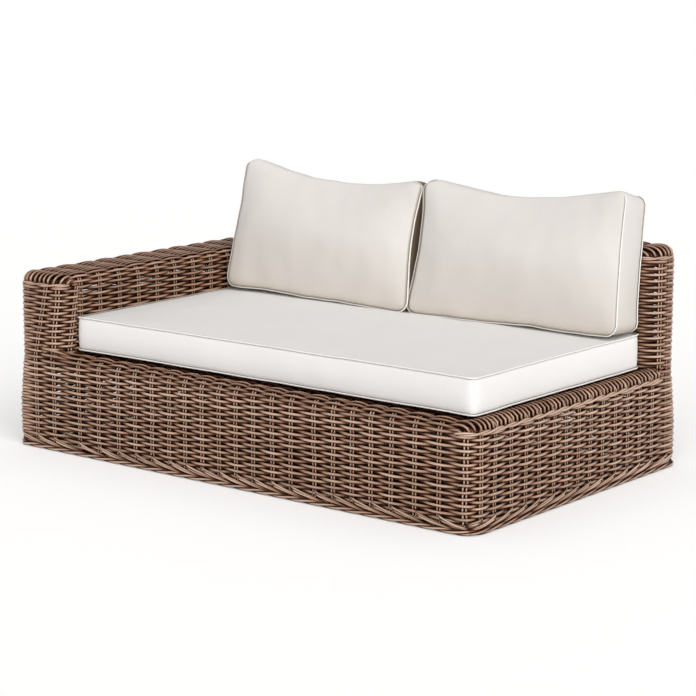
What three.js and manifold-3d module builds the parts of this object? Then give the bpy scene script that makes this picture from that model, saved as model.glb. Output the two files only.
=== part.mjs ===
import * as THREE from "three";
import { mergeVertices } from "three/addons/utils/BufferGeometryUtils.js";
import Module from "manifold-3d";

const wasm = await Module();
wasm.setup();

// Overall size of the sofa section, in millimetres
const overall_length = 1620;
const overall_depth = 980;
const arm_height = 508;
const back_rise = 114;
const back_height = arm_height + back_rise;
const deck_height = 286;
const arm_width = 180;
const back_thickness = 130;

// Woven skin
const skin_thickness = 16;
const edge_roll = 35;
const base_corner_radius = 50;
const arm_inner_radius = 65;
const back_end_radius = back_thickness / 2;
const course_pitch = 17.4;
const course_relief = 6;
const rib_crest_shares = [0.32, 0.68];
const crease_radius = 4;
const least_radius = 0.5;

// Braided border round the foot of the skin
const border_height = 52;
const border_proud = 5;
const border_strand_relief = 4;
const border_strand_rows = 4;
const floor_clearance = 4;

// Aluminium tube frame
const tube_size = 25;
const tube_wall = 1.5;
const lower_rail_height = 12;
const lower_post_margin = 90;
const arm_post_margin = 90;
const back_post_margin = 85;
const seat_bar_margin = 48;
const seat_bar_count = 4;

// Foot glides
const glide_setback = 0.5;
const glide_diameter = tube_size - 2 * glide_setback;
const glide_edge = 2;
const glide_stem_diameter = 14;
const glide_pad_height = 8;

// Seat cushion
const seat_cushion_end_margin = 54;
const seat_cushion_front_margin = 69;
const seat_cushion_side_gap = 2;
const seat_cushion_boxing = 96;
const seat_cushion_crown = 8;
const seat_cushion_corner = 18;
const seat_cushion_draw = 5;
const seat_cushion_roundness = 5;

// Back cushions
const back_cushion_height = 372;
const back_cushion_boxing = 104;
const back_cushion_front_crown = 34;
const back_cushion_rear_crown = 6;
const back_cushion_corner = 30;
const back_cushion_side_draw = 8;
const back_cushion_head_draw = 28;
const back_cushion_foot_draw = 3;
const back_cushion_taper = 12;
const back_cushion_roundness = 2.4;
const back_cushion_gap = 12;
const back_cushion_arm_gap = 15;
const left_back_lean = THREE.MathUtils.degToRad(12);
const right_back_lean = THREE.MathUtils.degToRad(9.5);
const back_cushion_overhang = 10;

// Clearance between neighbours that touch
const seat_gap = 0.3;

// Facets
const corner_steps = 5;
const roll_steps = 4;
const glide_facets = 12;

// Planes of the woven walls, inside the braided border
const wall_right = overall_length / 2 - border_proud;
const wall_left = -wall_right;
const wall_rear = overall_depth / 2 - border_proud;
const wall_front = -wall_rear;
const arm_inner = wall_left + arm_width;
const back_front = wall_rear - back_thickness;

// Heights where a straight wall ends and its rolled edge starts
const deck_roll_start = deck_height - edge_roll;
const arm_roll_start = arm_height - edge_roll;
const back_roll_start = back_height - edge_roll;
const deck_underside = deck_height - skin_thickness;

// Tubes lie in the rolled edge, touching its inner curve at 45 degrees
const roll_inner_radius = edge_roll - skin_thickness;
const tube_rise = (roll_inner_radius - seat_gap) * Math.SQRT1_2;
const tube_inset = edge_roll - tube_rise;
const tube_depth = tube_inset + tube_size;
const tube_centre = tube_inset + tube_size / 2;
const deck_rail_top = deck_roll_start + tube_rise;
const arm_rail_top = arm_roll_start + tube_rise;
const back_rail_top = back_roll_start + tube_rise;

// Materials
const wicker = { color: 0x8f7462, roughness: 0.55, metalness: 0 };
const border_wicker = { color: 0x85695a, roughness: 0.55, metalness: 0 };
const powder_coat = { color: 0x4a3d35, roughness: 0.45, metalness: 0.6 };
const nylon = { color: 0x1d1c1b, roughness: 0.6, metalness: 0 };
const canvas = { color: 0xe9e3da, roughness: 0.9, metalness: 0 };

const sofa = new THREE.Group();

function add(name, geometry, finish, parent = sofa) {
  const mesh = new THREE.Mesh(geometry, new THREE.MeshStandardMaterial(finish));
  mesh.name = name;
  parent.add(mesh);
  return mesh;
}

// Turns the faces of a closed surface outwards
function facingOut(positions, triangles) {
  const corner = (i) => new THREE.Vector3().fromArray(positions, 3 * i);
  const volume = triangles.reduce((sum, [i, j, k]) => sum + corner(i).dot(corner(j).cross(corner(k))), 0);
  const geometry = new THREE.BufferGeometry();
  geometry.setAttribute("position", new THREE.Float32BufferAttribute(positions, 3));
  geometry.setIndex(triangles.flatMap(([i, j, k]) => (volume > 0 ? [i, j, k] : [i, k, j])));
  return geometry;
}

// A station is a point of a wall's outer plane with the wall's outward normal
function station(x, y, angle) {
  return { x, y, nx: Math.cos(angle), ny: Math.sin(angle) };
}

// Quarter of a corner, from one wall's normal to the next
function cornerStations(cx, cy, radius, from, to) {
  const stations = [];
  for (let i = 0; i <= corner_steps; i += 1) {
    const angle = from + ((to - from) * i) / corner_steps;
    stations.push(station(cx + radius * Math.cos(angle), cy + radius * Math.sin(angle), angle));
  }
  return stations;
}

const [right, rear, left, front] = [0, Math.PI / 2, Math.PI, -Math.PI / 2];

const corners = {
  front_left: () => cornerStations(
    wall_left + base_corner_radius, wall_front + base_corner_radius, base_corner_radius, -left, front),
  front_right: () => cornerStations(
    wall_right - base_corner_radius, wall_front + base_corner_radius, base_corner_radius, front, right),
  rear_right: () => cornerStations(
    wall_right - back_end_radius, wall_rear - back_end_radius, back_end_radius, right, rear),
  rear_left: () => cornerStations(
    wall_left + base_corner_radius, wall_rear - base_corner_radius, base_corner_radius, rear, left),
  arm_inner_front: () => cornerStations(
    arm_inner - arm_inner_radius, wall_front + arm_inner_radius, arm_inner_radius, front, right),
  back_front_right: () => cornerStations(
    wall_right - back_end_radius, back_front + back_end_radius, back_end_radius, front, right),
  back_front_left: () => cornerStations(
    arm_inner + seat_gap + back_end_radius, back_front + back_end_radius, back_end_radius, -left, front),
  back_rear_left: () => cornerStations(
    arm_inner + seat_gap + back_end_radius, wall_rear - back_end_radius, back_end_radius, rear, left),
};

function toVectors(loop) {
  return loop.map(([x, y]) => new THREE.Vector2(x, y));
}

function wound(loop, clockwise) {
  return THREE.ShapeUtils.isClockWise(toVectors(loop)) === clockwise ? loop : [...loop].reverse();
}

// Sweeps a contour of [inset, height] points, with holes, along stations
function sweep(stations, contour, holes = []) {
  const loops = [wound(contour, false), ...holes.map((hole) => wound(hole, true))];
  const ring = loops.flat();
  const positions = stations.flatMap(({ x, y, nx, ny }) => (
    ring.flatMap(([inset, height]) => [x - nx * inset, y - ny * inset, height])));
  const triangles = [];
  for (let s = 0; s + 1 < stations.length; s += 1) {
    let start = s * ring.length;
    for (const loop of loops) {
      for (let i = 0; i < loop.length; i += 1) {
        const [a, b] = [start + i, start + ((i + 1) % loop.length)];
        triangles.push([a, b, b + ring.length], [a, b + ring.length, a + ring.length]);
      }
      start += loop.length;
    }
  }
  const end = (stations.length - 1) * ring.length;
  for (const face of THREE.ShapeUtils.triangulateShape(toVectors(loops[0]), loops.slice(1).map(toVectors))) {
    const clockwise = THREE.ShapeUtils.isClockWise(toVectors(face.map((n) => ring[n])));
    const [i, j, k] = clockwise ? face.reverse() : face;
    triangles.push([i, k, j], [i + end, j + end, k + end]);
  }
  return facingOut(positions, triangles);
}

function solidOf(geometry) {
  const bare = geometry.clone();
  bare.deleteAttribute("normal");
  bare.deleteAttribute("uv");
  const merged = mergeVertices(bare, least_radius / 1000);
  return new wasm.Manifold(new wasm.Mesh({
    numProp: 3,
    vertProperties: Float32Array.from(merged.attributes.position.array),
    triVerts: Uint32Array.from(merged.index.array),
  }));
}

function geometryOf(solid) {
  const { vertProperties, triVerts } = solid.getMesh();
  const geometry = new THREE.BufferGeometry();
  geometry.setAttribute("position", new THREE.BufferAttribute(vertProperties, 3));
  geometry.setIndex(new THREE.BufferAttribute(triVerts, 1));
  return geometry;
}

function joined(...geometries) {
  return geometryOf(geometries.map(solidOf).reduce((whole, next) => whole.add(next)));
}

// Contour of a straight wall whose outer side has one rounded rib for each pair of weavers
function wallContour(low, high) {
  const ribs = Math.max(1, Math.round((high - low) / course_pitch));
  const pitch = (high - low) / ribs;
  const outer = [];
  for (let i = 0; i < ribs; i += 1) {
    outer.push([course_relief, low + i * pitch]);
    for (const share of rib_crest_shares) outer.push([0, low + (i + share) * pitch]);
  }
  outer.push([course_relief, high]);
  return [...outer, [skin_thickness, high], [skin_thickness, low]];
}

// Contour of an edge that rolls from a wall over to a flat top
function rollContour(low) {
  const outer = [];
  const inner = [];
  for (let i = 0; i <= roll_steps; i += 1) {
    const turn = ((Math.PI / 2) * i) / roll_steps;
    const [c, s] = [Math.cos(turn), Math.sin(turn)];
    outer.push([edge_roll - edge_roll * c, low + edge_roll * s]);
    inner.unshift([edge_roll - roll_inner_radius * c, low + roll_inner_radius * s]);
  }
  return [...outer, ...inner];
}

// Woven walls
const arm_front_turn = arm_inner - arm_inner_radius;

function wickerWalls() {
  const low = border_height;
  const lowerFront = [...corners.front_left(), ...corners.front_right()];
  add("front_skin", sweep(lowerFront, wallContour(low, deck_roll_start - seat_gap)), wicker);

  const rightSide = [
    station(wall_right, wall_front + base_corner_radius + seat_gap, right),
    station(wall_right, wall_rear - back_end_radius - seat_gap, right),
  ];
  add("right_end_skin", sweep(rightSide, wallContour(low, deck_roll_start - seat_gap)), wicker);

  const leftSide = [
    station(wall_left, wall_rear - base_corner_radius - seat_gap, left),
    station(wall_left, wall_front + base_corner_radius + seat_gap, left),
  ];
  add("arm_outer_skin", sweep(leftSide, wallContour(low, arm_roll_start - seat_gap)), wicker);

  const belowDeck = [...corners.front_left(), station(arm_front_turn, wall_front, front)];
  const aboveDeck = [...corners.front_left(), ...corners.arm_inner_front()];
  add("arm_front_skin", joined(
    sweep(belowDeck, wallContour(deck_roll_start, deck_height + seat_gap)),
    sweep(aboveDeck, wallContour(deck_height + seat_gap, arm_roll_start - seat_gap))), wicker);

  const armInside = [
    station(arm_inner, wall_front + arm_inner_radius + seat_gap, right),
    station(arm_inner, back_front + skin_thickness, right),
  ];
  add("arm_inner_skin", sweep(armInside, wallContour(deck_underside, arm_roll_start - seat_gap)), wicker);

  const backLeft = arm_inner + seat_gap;
  const frontLower = [station(backLeft, back_front, front), ...corners.back_front_right()];
  const frontUpper = [...corners.back_front_left(), ...corners.back_front_right()];
  add("back_front_skin", joined(
    sweep(frontLower, wallContour(deck_height + seat_gap, arm_height)),
    sweep(frontUpper, wallContour(arm_height, back_roll_start - seat_gap))), wicker);

  const rearLow = [...corners.rear_right(), ...corners.rear_left()];
  const rearMiddle = [...corners.rear_right(), station(backLeft, wall_rear, rear)];
  const rearUpper = [...corners.rear_right(), ...corners.back_rear_left()];
  add("rear_skin", joined(
    sweep(rearLow, wallContour(low, arm_roll_start - seat_gap)),
    sweep(rearMiddle, wallContour(arm_roll_start - seat_gap, arm_height)),
    sweep(rearUpper, wallContour(arm_height, back_roll_start - seat_gap))), wicker);
}

// Rolled edges of the seat deck, at the front and at the open end
function seatEdges() {
  const contour = rollContour(deck_roll_start);
  const frontEdge = [station(arm_front_turn + seat_gap, wall_front, front), ...corners.front_right()];
  add("seat_front_edge", sweep(frontEdge, contour), wicker);
  const rightEdge = [
    station(wall_right, wall_front + base_corner_radius + seat_gap, right),
    station(wall_right, wall_rear - back_end_radius - seat_gap, right),
  ];
  add("seat_right_edge", sweep(rightEdge, contour), wicker);
}

// Woven seat deck, its weavers running along the sofa
function seatDeck() {
  const lowY = wall_front + edge_roll + seat_gap;
  const highY = back_front + skin_thickness;
  const leftX = arm_inner + seat_gap;
  const rightX = wall_right - edge_roll - seat_gap;
  const tabX = wall_right - back_end_radius;
  const tabY = wall_rear - back_end_radius - seat_gap;
  const ribs = Math.round((tabY - lowY) / course_pitch);
  const pitch = (tabY - lowY) / ribs;
  const contour = [[-tabY, deck_underside], [-lowY, deck_underside]];
  for (let i = 0; i < ribs; i += 1) {
    contour.push([-lowY - i * pitch, deck_height - course_relief]);
    for (const share of rib_crest_shares) contour.push([-lowY - (i + share) * pitch, deck_height]);
  }
  contour.push([-tabY, deck_height - course_relief]);
  const ribbed = sweep([
    station(leftX - skin_thickness, 0, rear),
    station(rightX + skin_thickness, 0, rear),
  ], contour);
  const drawnIn = edge_roll + seat_gap;
  const armTurnX = arm_front_turn + seat_gap;
  const armTurnY = wall_front + arm_inner_radius;
  const plan = new THREE.Shape();
  plan.moveTo(armTurnX, lowY);
  for (const { x, y, nx, ny } of corners.front_right()) plan.lineTo(x - nx * drawnIn, y - ny * drawnIn);
  plan.lineTo(rightX, tabY);
  plan.lineTo(tabX, tabY);
  plan.lineTo(tabX, highY);
  plan.lineTo(leftX, highY);
  plan.lineTo(leftX, armTurnY);
  plan.lineTo(armTurnX, armTurnY);
  const prism = new THREE.ExtrudeGeometry(plan, {
    depth: skin_thickness + edge_roll, bevelEnabled: false });
  prism.translate(0, 0, deck_underside - skin_thickness);
  add("seat_deck", geometryOf(solidOf(ribbed).intersect(solidOf(prism))), wicker);
}

// Outline of a rounded rectangle, drawn in by an inset
function outline(plan, inset) {
  const { x0, x1, y0, y1, radii } = plan;
  const centres = [
    [x1, y1, radii.rear_right, right], [x0, y1, radii.rear_left, rear],
    [x0, y0, radii.front_left, left], [x1, y0, radii.front_right, left - front],
  ];
  const points = [];
  for (const [cornerX, cornerY, radius, from] of centres) {
    const r = Math.max(radius - inset, least_radius);
    const sx = cornerX === x1 ? 1 : -1;
    const sy = cornerY === y1 ? 1 : -1;
    const cx = cornerX - sx * (inset + r);
    const cy = cornerY - sy * (inset + r);
    for (let i = 0; i <= corner_steps; i += 1) {
      const angle = from + ((Math.PI / 2) * i) / corner_steps;
      points.push([cx + r * Math.cos(angle), cy + r * Math.sin(angle)]);
    }
  }
  return points;
}

// Joins rings of equal length into a closed surface, with a fan over the first and last
function loft(rings) {
  const count = rings[0].length;
  const positions = rings.flat(2);
  const triangles = [];
  for (let r = 0; r + 1 < rings.length; r += 1) {
    for (let i = 0; i < count; i += 1) {
      const [a, b] = [r * count + i, r * count + ((i + 1) % count)];
      triangles.push([a, b, b + count], [a, b + count, a + count]);
    }
  }
  const last = (rings.length - 1) * count;
  for (const [start, turned] of [[0, false], [last, true]]) {
    const centre = positions.length / 3;
    const ring = rings[start / count];
    positions.push(...[0, 1, 2].map((axis) => ring.reduce((sum, point) => sum + point[axis], 0) / count));
    for (let i = 0; i < count; i += 1) {
      const [a, b] = [start + i, start + ((i + 1) % count)];
      triangles.push(turned ? [centre, a, b] : [centre, b, a]);
    }
  }
  return facingOut(positions, triangles);
}

// Woven top whose edges roll down to the walls all round
function rolledTop(plan, low) {
  const contour = rollContour(low);
  const outer = contour.slice(0, roll_steps + 1).reverse();
  const inner = contour.slice(roll_steps + 1).reverse();
  const ringAt = ([inset, height]) => outline(plan, inset).map(([x, y]) => [x, y, height]);
  return loft([...outer, ...inner].map(ringAt));
}

function wickerTops() {
  add("arm_top_skin", rolledTop({
    x0: wall_left, x1: arm_inner, y0: wall_front, y1: wall_rear,
    radii: {
      front_left: base_corner_radius, front_right: arm_inner_radius,
      rear_left: base_corner_radius, rear_right: crease_radius,
    },
  }, arm_roll_start), wicker);
  add("back_top_skin", rolledTop({
    x0: arm_inner + seat_gap, x1: wall_right, y0: back_front, y1: wall_rear,
    radii: {
      front_left: back_end_radius, front_right: back_end_radius,
      rear_left: back_end_radius, rear_right: back_end_radius,
    },
  }, back_roll_start), wicker);
}

// Border of braided strands, with one rounded step for each row of strands
function borderContour() {
  const low = floor_clearance;
  const high = border_height - seat_gap;
  const row = (high - low) / border_strand_rows;
  const contour = [];
  for (let i = 0; i < border_strand_rows; i += 1) {
    contour.push([border_strand_relief - border_proud, low + i * row]);
    for (const share of rib_crest_shares) contour.push([-border_proud, low + (i + share) * row]);
  }
  contour.push([border_strand_relief - border_proud, high]);
  const inner = tube_inset - seat_gap;
  return [...contour, [inner, high], [inner, low]];
}

function border() {
  const contour = borderContour();
  add("front_border", sweep([...corners.front_left(), ...corners.front_right()], contour), border_wicker);
  add("rear_border", sweep([...corners.rear_right(), ...corners.rear_left()], contour), border_wicker);
  add("right_border", sweep([
    station(wall_right, wall_front + base_corner_radius + seat_gap, right),
    station(wall_right, wall_rear - back_end_radius - seat_gap, right),
  ], contour), border_wicker);
  add("left_border", sweep([
    station(wall_left, wall_rear - base_corner_radius - seat_gap, left),
    station(wall_left, wall_front + base_corner_radius + seat_gap, left),
  ], contour), border_wicker);
}

// Square tube section, lying inside a wall at a given height
function tubeSection(inset, low) {
  const square = (margin) => [
    [inset + margin, low + margin], [inset + tube_size - margin, low + margin],
    [inset + tube_size - margin, low + tube_size - margin], [inset + margin, low + tube_size - margin],
  ];
  return [square(0), [square(tube_wall)]];
}

function rail(name, stations, top) {
  const [contour, holes] = tubeSection(tube_inset, top - tube_size);
  add(name, sweep(stations, contour, holes), powder_coat);
}

// Rail ring of four bent tubes, each holding the bend at one of its ends
function railRing(prefix, top) {
  const frontEnd = wall_front + base_corner_radius;
  rail(`${prefix}_front_rail`, [
    station(wall_left + base_corner_radius + seat_gap, wall_front, front),
    ...corners.front_right(),
  ], top);
  rail(`${prefix}_right_rail`, [
    station(wall_right, frontEnd + seat_gap, right),
    ...corners.rear_right(),
  ], top);
  rail(`${prefix}_rear_rail`, [
    station(wall_right - back_end_radius - seat_gap, wall_rear, rear),
    ...corners.rear_left(),
  ], top);
  rail(`${prefix}_left_rail`, [
    station(wall_left, wall_rear - base_corner_radius - seat_gap, left),
    ...corners.front_left(),
  ], top);
}

function armRing() {
  rail("arm_top_outer_rail", [
    station(arm_inner - tube_depth - seat_gap, wall_rear, rear),
    ...corners.rear_left(),
    ...corners.front_left(),
    station(arm_front_turn - seat_gap, wall_front, front),
  ], arm_rail_top);
  rail("arm_top_inner_rail", [
    ...corners.arm_inner_front(),
    station(arm_inner, wall_rear - tube_inset, right),
  ], arm_rail_top);
}

function backRing() {
  const middle = back_front + back_end_radius;
  rail("back_top_front_rail", [
    station(arm_inner + seat_gap, middle - seat_gap, left),
    ...corners.back_front_left().slice(1),
    ...corners.back_front_right(),
  ], back_rail_top);
  rail("back_top_rear_rail", [
    station(wall_right, middle + seat_gap, right),
    ...corners.rear_right().slice(1),
    ...corners.back_rear_left(),
  ], back_rail_top);
}

// Rails under the inner side of the arm and under the front of the back
function seatRails() {
  rail("seat_left_rail", [
    station(arm_inner, wall_front + tube_depth + seat_gap, right),
    station(arm_inner, wall_rear - tube_depth - seat_gap, right),
  ], deck_rail_top);
  rail("seat_rear_rail", [
    station(arm_inner - tube_inset + seat_gap, back_front, front),
    station(wall_right - tube_depth - seat_gap, back_front, front),
  ], deck_rail_top);
}

// Bars that carry the woven deck from the front rail to the rail under the back
function seatBars() {
  const first = arm_inner + seat_bar_margin;
  const last = wall_right - tube_depth - seat_bar_margin;
  const lowY = wall_front + tube_depth + seat_gap;
  const highY = back_front + tube_inset - seat_gap;
  const top = deck_underside - seat_gap;
  for (let i = 0; i < seat_bar_count; i += 1) {
    const x = first + ((last - first) * i) / (seat_bar_count - 1);
    const outside = x + tube_centre;
    rail(`seat_bar_${i + 1}`, [station(outside, lowY, right), station(outside, highY, right)], top);
  }
}

function post(name, x, y, low, high) {
  const half = tube_size / 2;
  const bore = half - tube_wall;
  const section = new THREE.Shape([[-half, -half], [half, -half], [half, half], [-half, half]]
    .map(([px, py]) => new THREE.Vector2(px, py)));
  section.holes.push(new THREE.Path([[-bore, -bore], [-bore, bore], [bore, bore], [bore, -bore]]
    .map(([px, py]) => new THREE.Vector2(px, py))));
  const geometry = new THREE.ExtrudeGeometry(section, { depth: high - low, bevelEnabled: false });
  add(name, geometry, powder_coat).position.set(x, y, low);
}

const post_places = ["left", "middle", "right"];

function posts() {
  const frontY = wall_front + tube_centre;
  const rearY = wall_rear - tube_centre;
  const lowerLow = lower_rail_height + tube_size + seat_gap;
  const lowerHigh = deck_rail_top - tube_size - seat_gap;
  const upperLow = deck_rail_top + seat_gap;
  const lowerX = [wall_left + lower_post_margin, 0, wall_right - lower_post_margin];
  const backX = [arm_inner + back_post_margin, (arm_inner + wall_right) / 2, wall_right - back_post_margin];
  const backHigh = back_rail_top - tube_size - seat_gap;
  post_places.forEach((place, i) => {
    post(`lower_front_post_${place}`, lowerX[i], frontY, lowerLow, lowerHigh);
    post(`lower_rear_post_${place}`, lowerX[i], rearY, lowerLow, lowerHigh);
    post(`back_front_post_${place}`, backX[i], back_front + tube_centre, upperLow, backHigh);
    post(`back_rear_post_${place}`, backX[i], rearY, upperLow, backHigh);
  });
  const armHigh = arm_rail_top - tube_size - seat_gap;
  const armFrontY = wall_front + arm_post_margin;
  const armRearY = wall_rear - arm_post_margin;
  post("arm_outer_post_front", wall_left + tube_centre, armFrontY, upperLow, armHigh);
  post("arm_outer_post_rear", wall_left + tube_centre, armRearY, upperLow, armHigh);
  post("arm_inner_post_front", arm_inner - tube_centre, armFrontY, upperLow, armHigh);
  post("arm_inner_post_rear", arm_inner - tube_centre, armRearY, upperLow, armHigh);
}

// Nylon glides under the lower rails, below the posts
function glides() {
  const radius = glide_diameter / 2;
  const top = lower_rail_height - seat_gap;
  const profile = [
    [0, 0], [radius - glide_edge, 0], [radius, glide_edge], [radius, glide_pad_height],
    [glide_stem_diameter / 2, top], [0, top],
  ].map(([r, z]) => new THREE.Vector2(r, z));
  const lowerX = [wall_left + lower_post_margin, 0, wall_right - lower_post_margin];
  for (const [row, y] of [["front", wall_front + tube_centre], ["rear", wall_rear - tube_centre]]) {
    post_places.forEach((place, i) => {
      const geometry = new THREE.LatheGeometry(profile, glide_facets);
      geometry.rotateX(Math.PI / 2);
      add(`foot_glide_${row}_${place}`, geometry, nylon).position.set(lowerX[i], y, 0);
    });
  }
}

// Shares of a cushion's half size at which its rings lie, from the middle of a face to its seam
const face_ring_shares = [0.25, 0.48, 0.68, 0.83, 0.94, 1];
const side_step_shares = [-0.7, -0.35, 0, 0.35, 0.7];
const boxing_ring_shares = [0.5, 0, -0.5];
const boxing_swell_share = 0.03;

// Seam outline of a cushion: rounded corners, sides, head and foot drawn in between them, and each side
// leaning in by the taper towards the head
function seamOutline({ width, depth, corner, sideDraw, headDraw, footDraw, taper = 0 }) {
  const [hx, hy] = [width / 2, depth / 2];
  const [cx, cy] = [hx - corner, hy - corner];
  const bow = (share, depthOfBow) => depthOfBow * (1 - share * share);
  const sides = [
    { at: (s) => [hx - bow(s, sideDraw), s * cy], centre: [cx, cy], from: right },
    { at: (s) => [-s * cx, hy - bow(s, headDraw)], centre: [-cx, cy], from: rear },
    { at: (s) => [bow(s, sideDraw) - hx, -s * cy], centre: [-cx, -cy], from: left },
    { at: (s) => [s * cx, bow(s, footDraw) - hy], centre: [cx, -cy], from: left + rear },
  ];
  // Each side ends where the corner after it starts, so that corner is the one it runs into
  const points = sides.flatMap(({ at }, i) => {
    const { centre, from } = sides[i];
    const run = side_step_shares.map(at);
    for (let step = 0; step < corner_steps; step += 1) {
      const angle = from + ((Math.PI / 2) * step) / (corner_steps - 1);
      run.push([centre[0] + corner * Math.cos(angle), centre[1] + corner * Math.sin(angle)]);
    }
    return run;
  });
  return points.map(([x, y]) => [x * (1 - ((taper / hx) * (y + hy)) / depth), y]);
}

// Ring of a cushion's face: the seam's outline at the seam, an ellipse near the middle
function faceRing(seam, width, depth, share) {
  const squareness = share * share;
  return seam.map(([x, y]) => {
    const turn = Math.atan2(y / depth, x / width);
    const [ellipseX, ellipseY] = [(width / 2) * Math.cos(turn), (depth / 2) * Math.sin(turn)];
    return [
      share * THREE.MathUtils.lerp(ellipseX, x, squareness),
      share * THREE.MathUtils.lerp(ellipseY, y, squareness),
    ];
  });
}

function fullness(share, roundness) {
  return 1 - share ** roundness;
}

// Cushion lying flat: crowned faces above and below a boxing strip
function cushion({ width, depth, boxing, upperCrown, lowerCrown, roundness, ...outlineSizes }) {
  const seam = seamOutline({ width, depth, ...outlineSizes });
  const face = (share, side, crown) => faceRing(seam, width, depth, share).map(([x, y]) => [
    x, y, side * (boxing / 2 + crown * fullness(share, roundness))]);
  const swell = boxing * boxing_swell_share;
  const strip = boxing_ring_shares.map((share) => seam.map(([x, y]) => {
    const reach = Math.hypot(x, y);
    const out = 1 + (swell * (1 - share * share)) / reach;
    return [x * out, y * out, (share * boxing) / 2];
  }));
  return loft([
    ...face_ring_shares.map((share) => face(share, 1, upperCrown)),
    ...strip,
    ...[...face_ring_shares].reverse().map((share) => face(share, -1, lowerCrown)),
  ]);
}

// Place of the seat cushion on the deck
const seat_cushion_base = deck_height + seat_gap;
const seat_cushion_seam = seat_cushion_base + seat_cushion_boxing;
const seat_cushion_left = arm_inner + seat_cushion_side_gap;
const seat_cushion_right = overall_length / 2 - seat_cushion_end_margin;
const seat_cushion_front = seat_cushion_front_margin - overall_depth / 2;
const seat_cushion_rear = back_front - seat_cushion_side_gap;
const seat_cushion_middle = (seat_cushion_front + seat_cushion_rear) / 2;

// The back cushions share the length between the arm and the open end
const back_cushions_left = arm_inner + back_cushion_arm_gap;
const back_cushions_right = seat_cushion_right + back_cushion_overhang;
const back_cushion_width = (back_cushions_right - back_cushions_left - back_cushion_gap) / 2;

function seatTopAt(y) {
  const share = Math.abs(y - seat_cushion_middle) / (seat_cushion_rear - seat_cushion_middle);
  return seat_cushion_seam + seat_cushion_crown * fullness(share, seat_cushion_roundness);
}

function seatCushion() {
  const swell = 2 * seat_cushion_boxing * boxing_swell_share;
  const geometry = cushion({
    width: seat_cushion_right - seat_cushion_left - swell,
    depth: seat_cushion_rear - seat_cushion_front - swell,
    boxing: seat_cushion_boxing,
    upperCrown: seat_cushion_crown,
    lowerCrown: 0,
    corner: seat_cushion_corner,
    sideDraw: seat_cushion_draw,
    headDraw: seat_cushion_draw,
    footDraw: seat_cushion_draw,
    roundness: seat_cushion_roundness,
  });
  add("seat_cushion", geometry, canvas).position.set(
    (seat_cushion_left + seat_cushion_right) / 2,
    seat_cushion_middle,
    seat_cushion_base + seat_cushion_boxing / 2);
}

// Share of a back cushion's height over which its foot settles flat on the seat
const settle_share = 0.4;

// Cushion that leans on the rolled top of the back and stands on the seat cushion
function backCushion(name, centreX, lean) {
  const geometry = cushion({
    width: back_cushion_width,
    depth: back_cushion_height,
    boxing: back_cushion_boxing,
    upperCrown: back_cushion_front_crown,
    lowerCrown: back_cushion_rear_crown,
    corner: back_cushion_corner,
    sideDraw: back_cushion_side_draw,
    headDraw: back_cushion_head_draw,
    footDraw: back_cushion_foot_draw,
    taper: back_cushion_taper,
    roundness: back_cushion_roundness,
  });
  const points = geometry.attributes.position;
  for (let i = 0; i < points.count; i += 1) {
    const rise = (points.getY(i) + back_cushion_height / 2) / (back_cushion_height * settle_share);
    const settle = THREE.MathUtils.clamp(1 - rise, 0, 1);
    const forward = points.getZ(i) + back_cushion_boxing / 2;
    points.setY(i, points.getY(i) - forward * Math.tan(lean) * settle);
  }
  const mesh = add(name, geometry, canvas);
  mesh.rotation.x = Math.PI / 2 - lean;
  const lowest = new THREE.Box3().setFromObject(mesh, true).min.z;
  const rearReach = back_cushion_boxing / 2 + back_cushion_rear_crown + seat_gap;
  const leanBack = (back_roll_start - seat_cushion_seam) * Math.tan(lean);
  const footY = back_front - leanBack - rearReach / Math.cos(lean);
  const centreY = footY + (back_cushion_height / 2) * Math.sin(lean);
  mesh.position.set(centreX, centreY, seatTopAt(footY) + seat_gap - lowest);
}

function backCushions() {
  const half = back_cushion_width / 2;
  backCushion("left_back_cushion", back_cushions_left + half, left_back_lean);
  backCushion("right_back_cushion", back_cushions_right - half, right_back_lean);
}

wickerWalls();
seatEdges();
seatDeck();
wickerTops();
border();
railRing("lower", lower_rail_height + tube_size);
railRing("deck", deck_rail_top);
seatRails();
seatBars();
armRing();
backRing();
posts();
glides();
seatCushion();
backCushions();

export default sofa;
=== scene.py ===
import functools
import math

import bpy
import numpy as np
from mathutils import Matrix, Vector, noise


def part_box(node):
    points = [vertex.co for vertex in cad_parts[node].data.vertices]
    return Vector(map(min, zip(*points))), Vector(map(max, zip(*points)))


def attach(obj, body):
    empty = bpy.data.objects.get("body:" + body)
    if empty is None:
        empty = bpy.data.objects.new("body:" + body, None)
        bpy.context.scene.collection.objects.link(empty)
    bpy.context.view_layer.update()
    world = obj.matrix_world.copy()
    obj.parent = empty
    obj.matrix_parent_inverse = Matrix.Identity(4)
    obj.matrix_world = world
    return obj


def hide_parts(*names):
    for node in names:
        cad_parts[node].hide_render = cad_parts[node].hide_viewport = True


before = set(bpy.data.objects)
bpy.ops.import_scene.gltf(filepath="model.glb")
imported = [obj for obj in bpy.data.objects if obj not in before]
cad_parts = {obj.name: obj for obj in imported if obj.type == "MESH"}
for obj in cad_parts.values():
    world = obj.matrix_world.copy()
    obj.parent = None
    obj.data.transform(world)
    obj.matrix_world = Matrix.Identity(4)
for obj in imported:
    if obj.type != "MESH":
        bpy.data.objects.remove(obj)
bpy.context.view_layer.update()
chance = np.random.default_rng(7)
noise.seed_set(7)
mm = 0.001
SEAT_CUSHION = tuple(np.array(corner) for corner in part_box("seat_cushion"))

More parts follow.
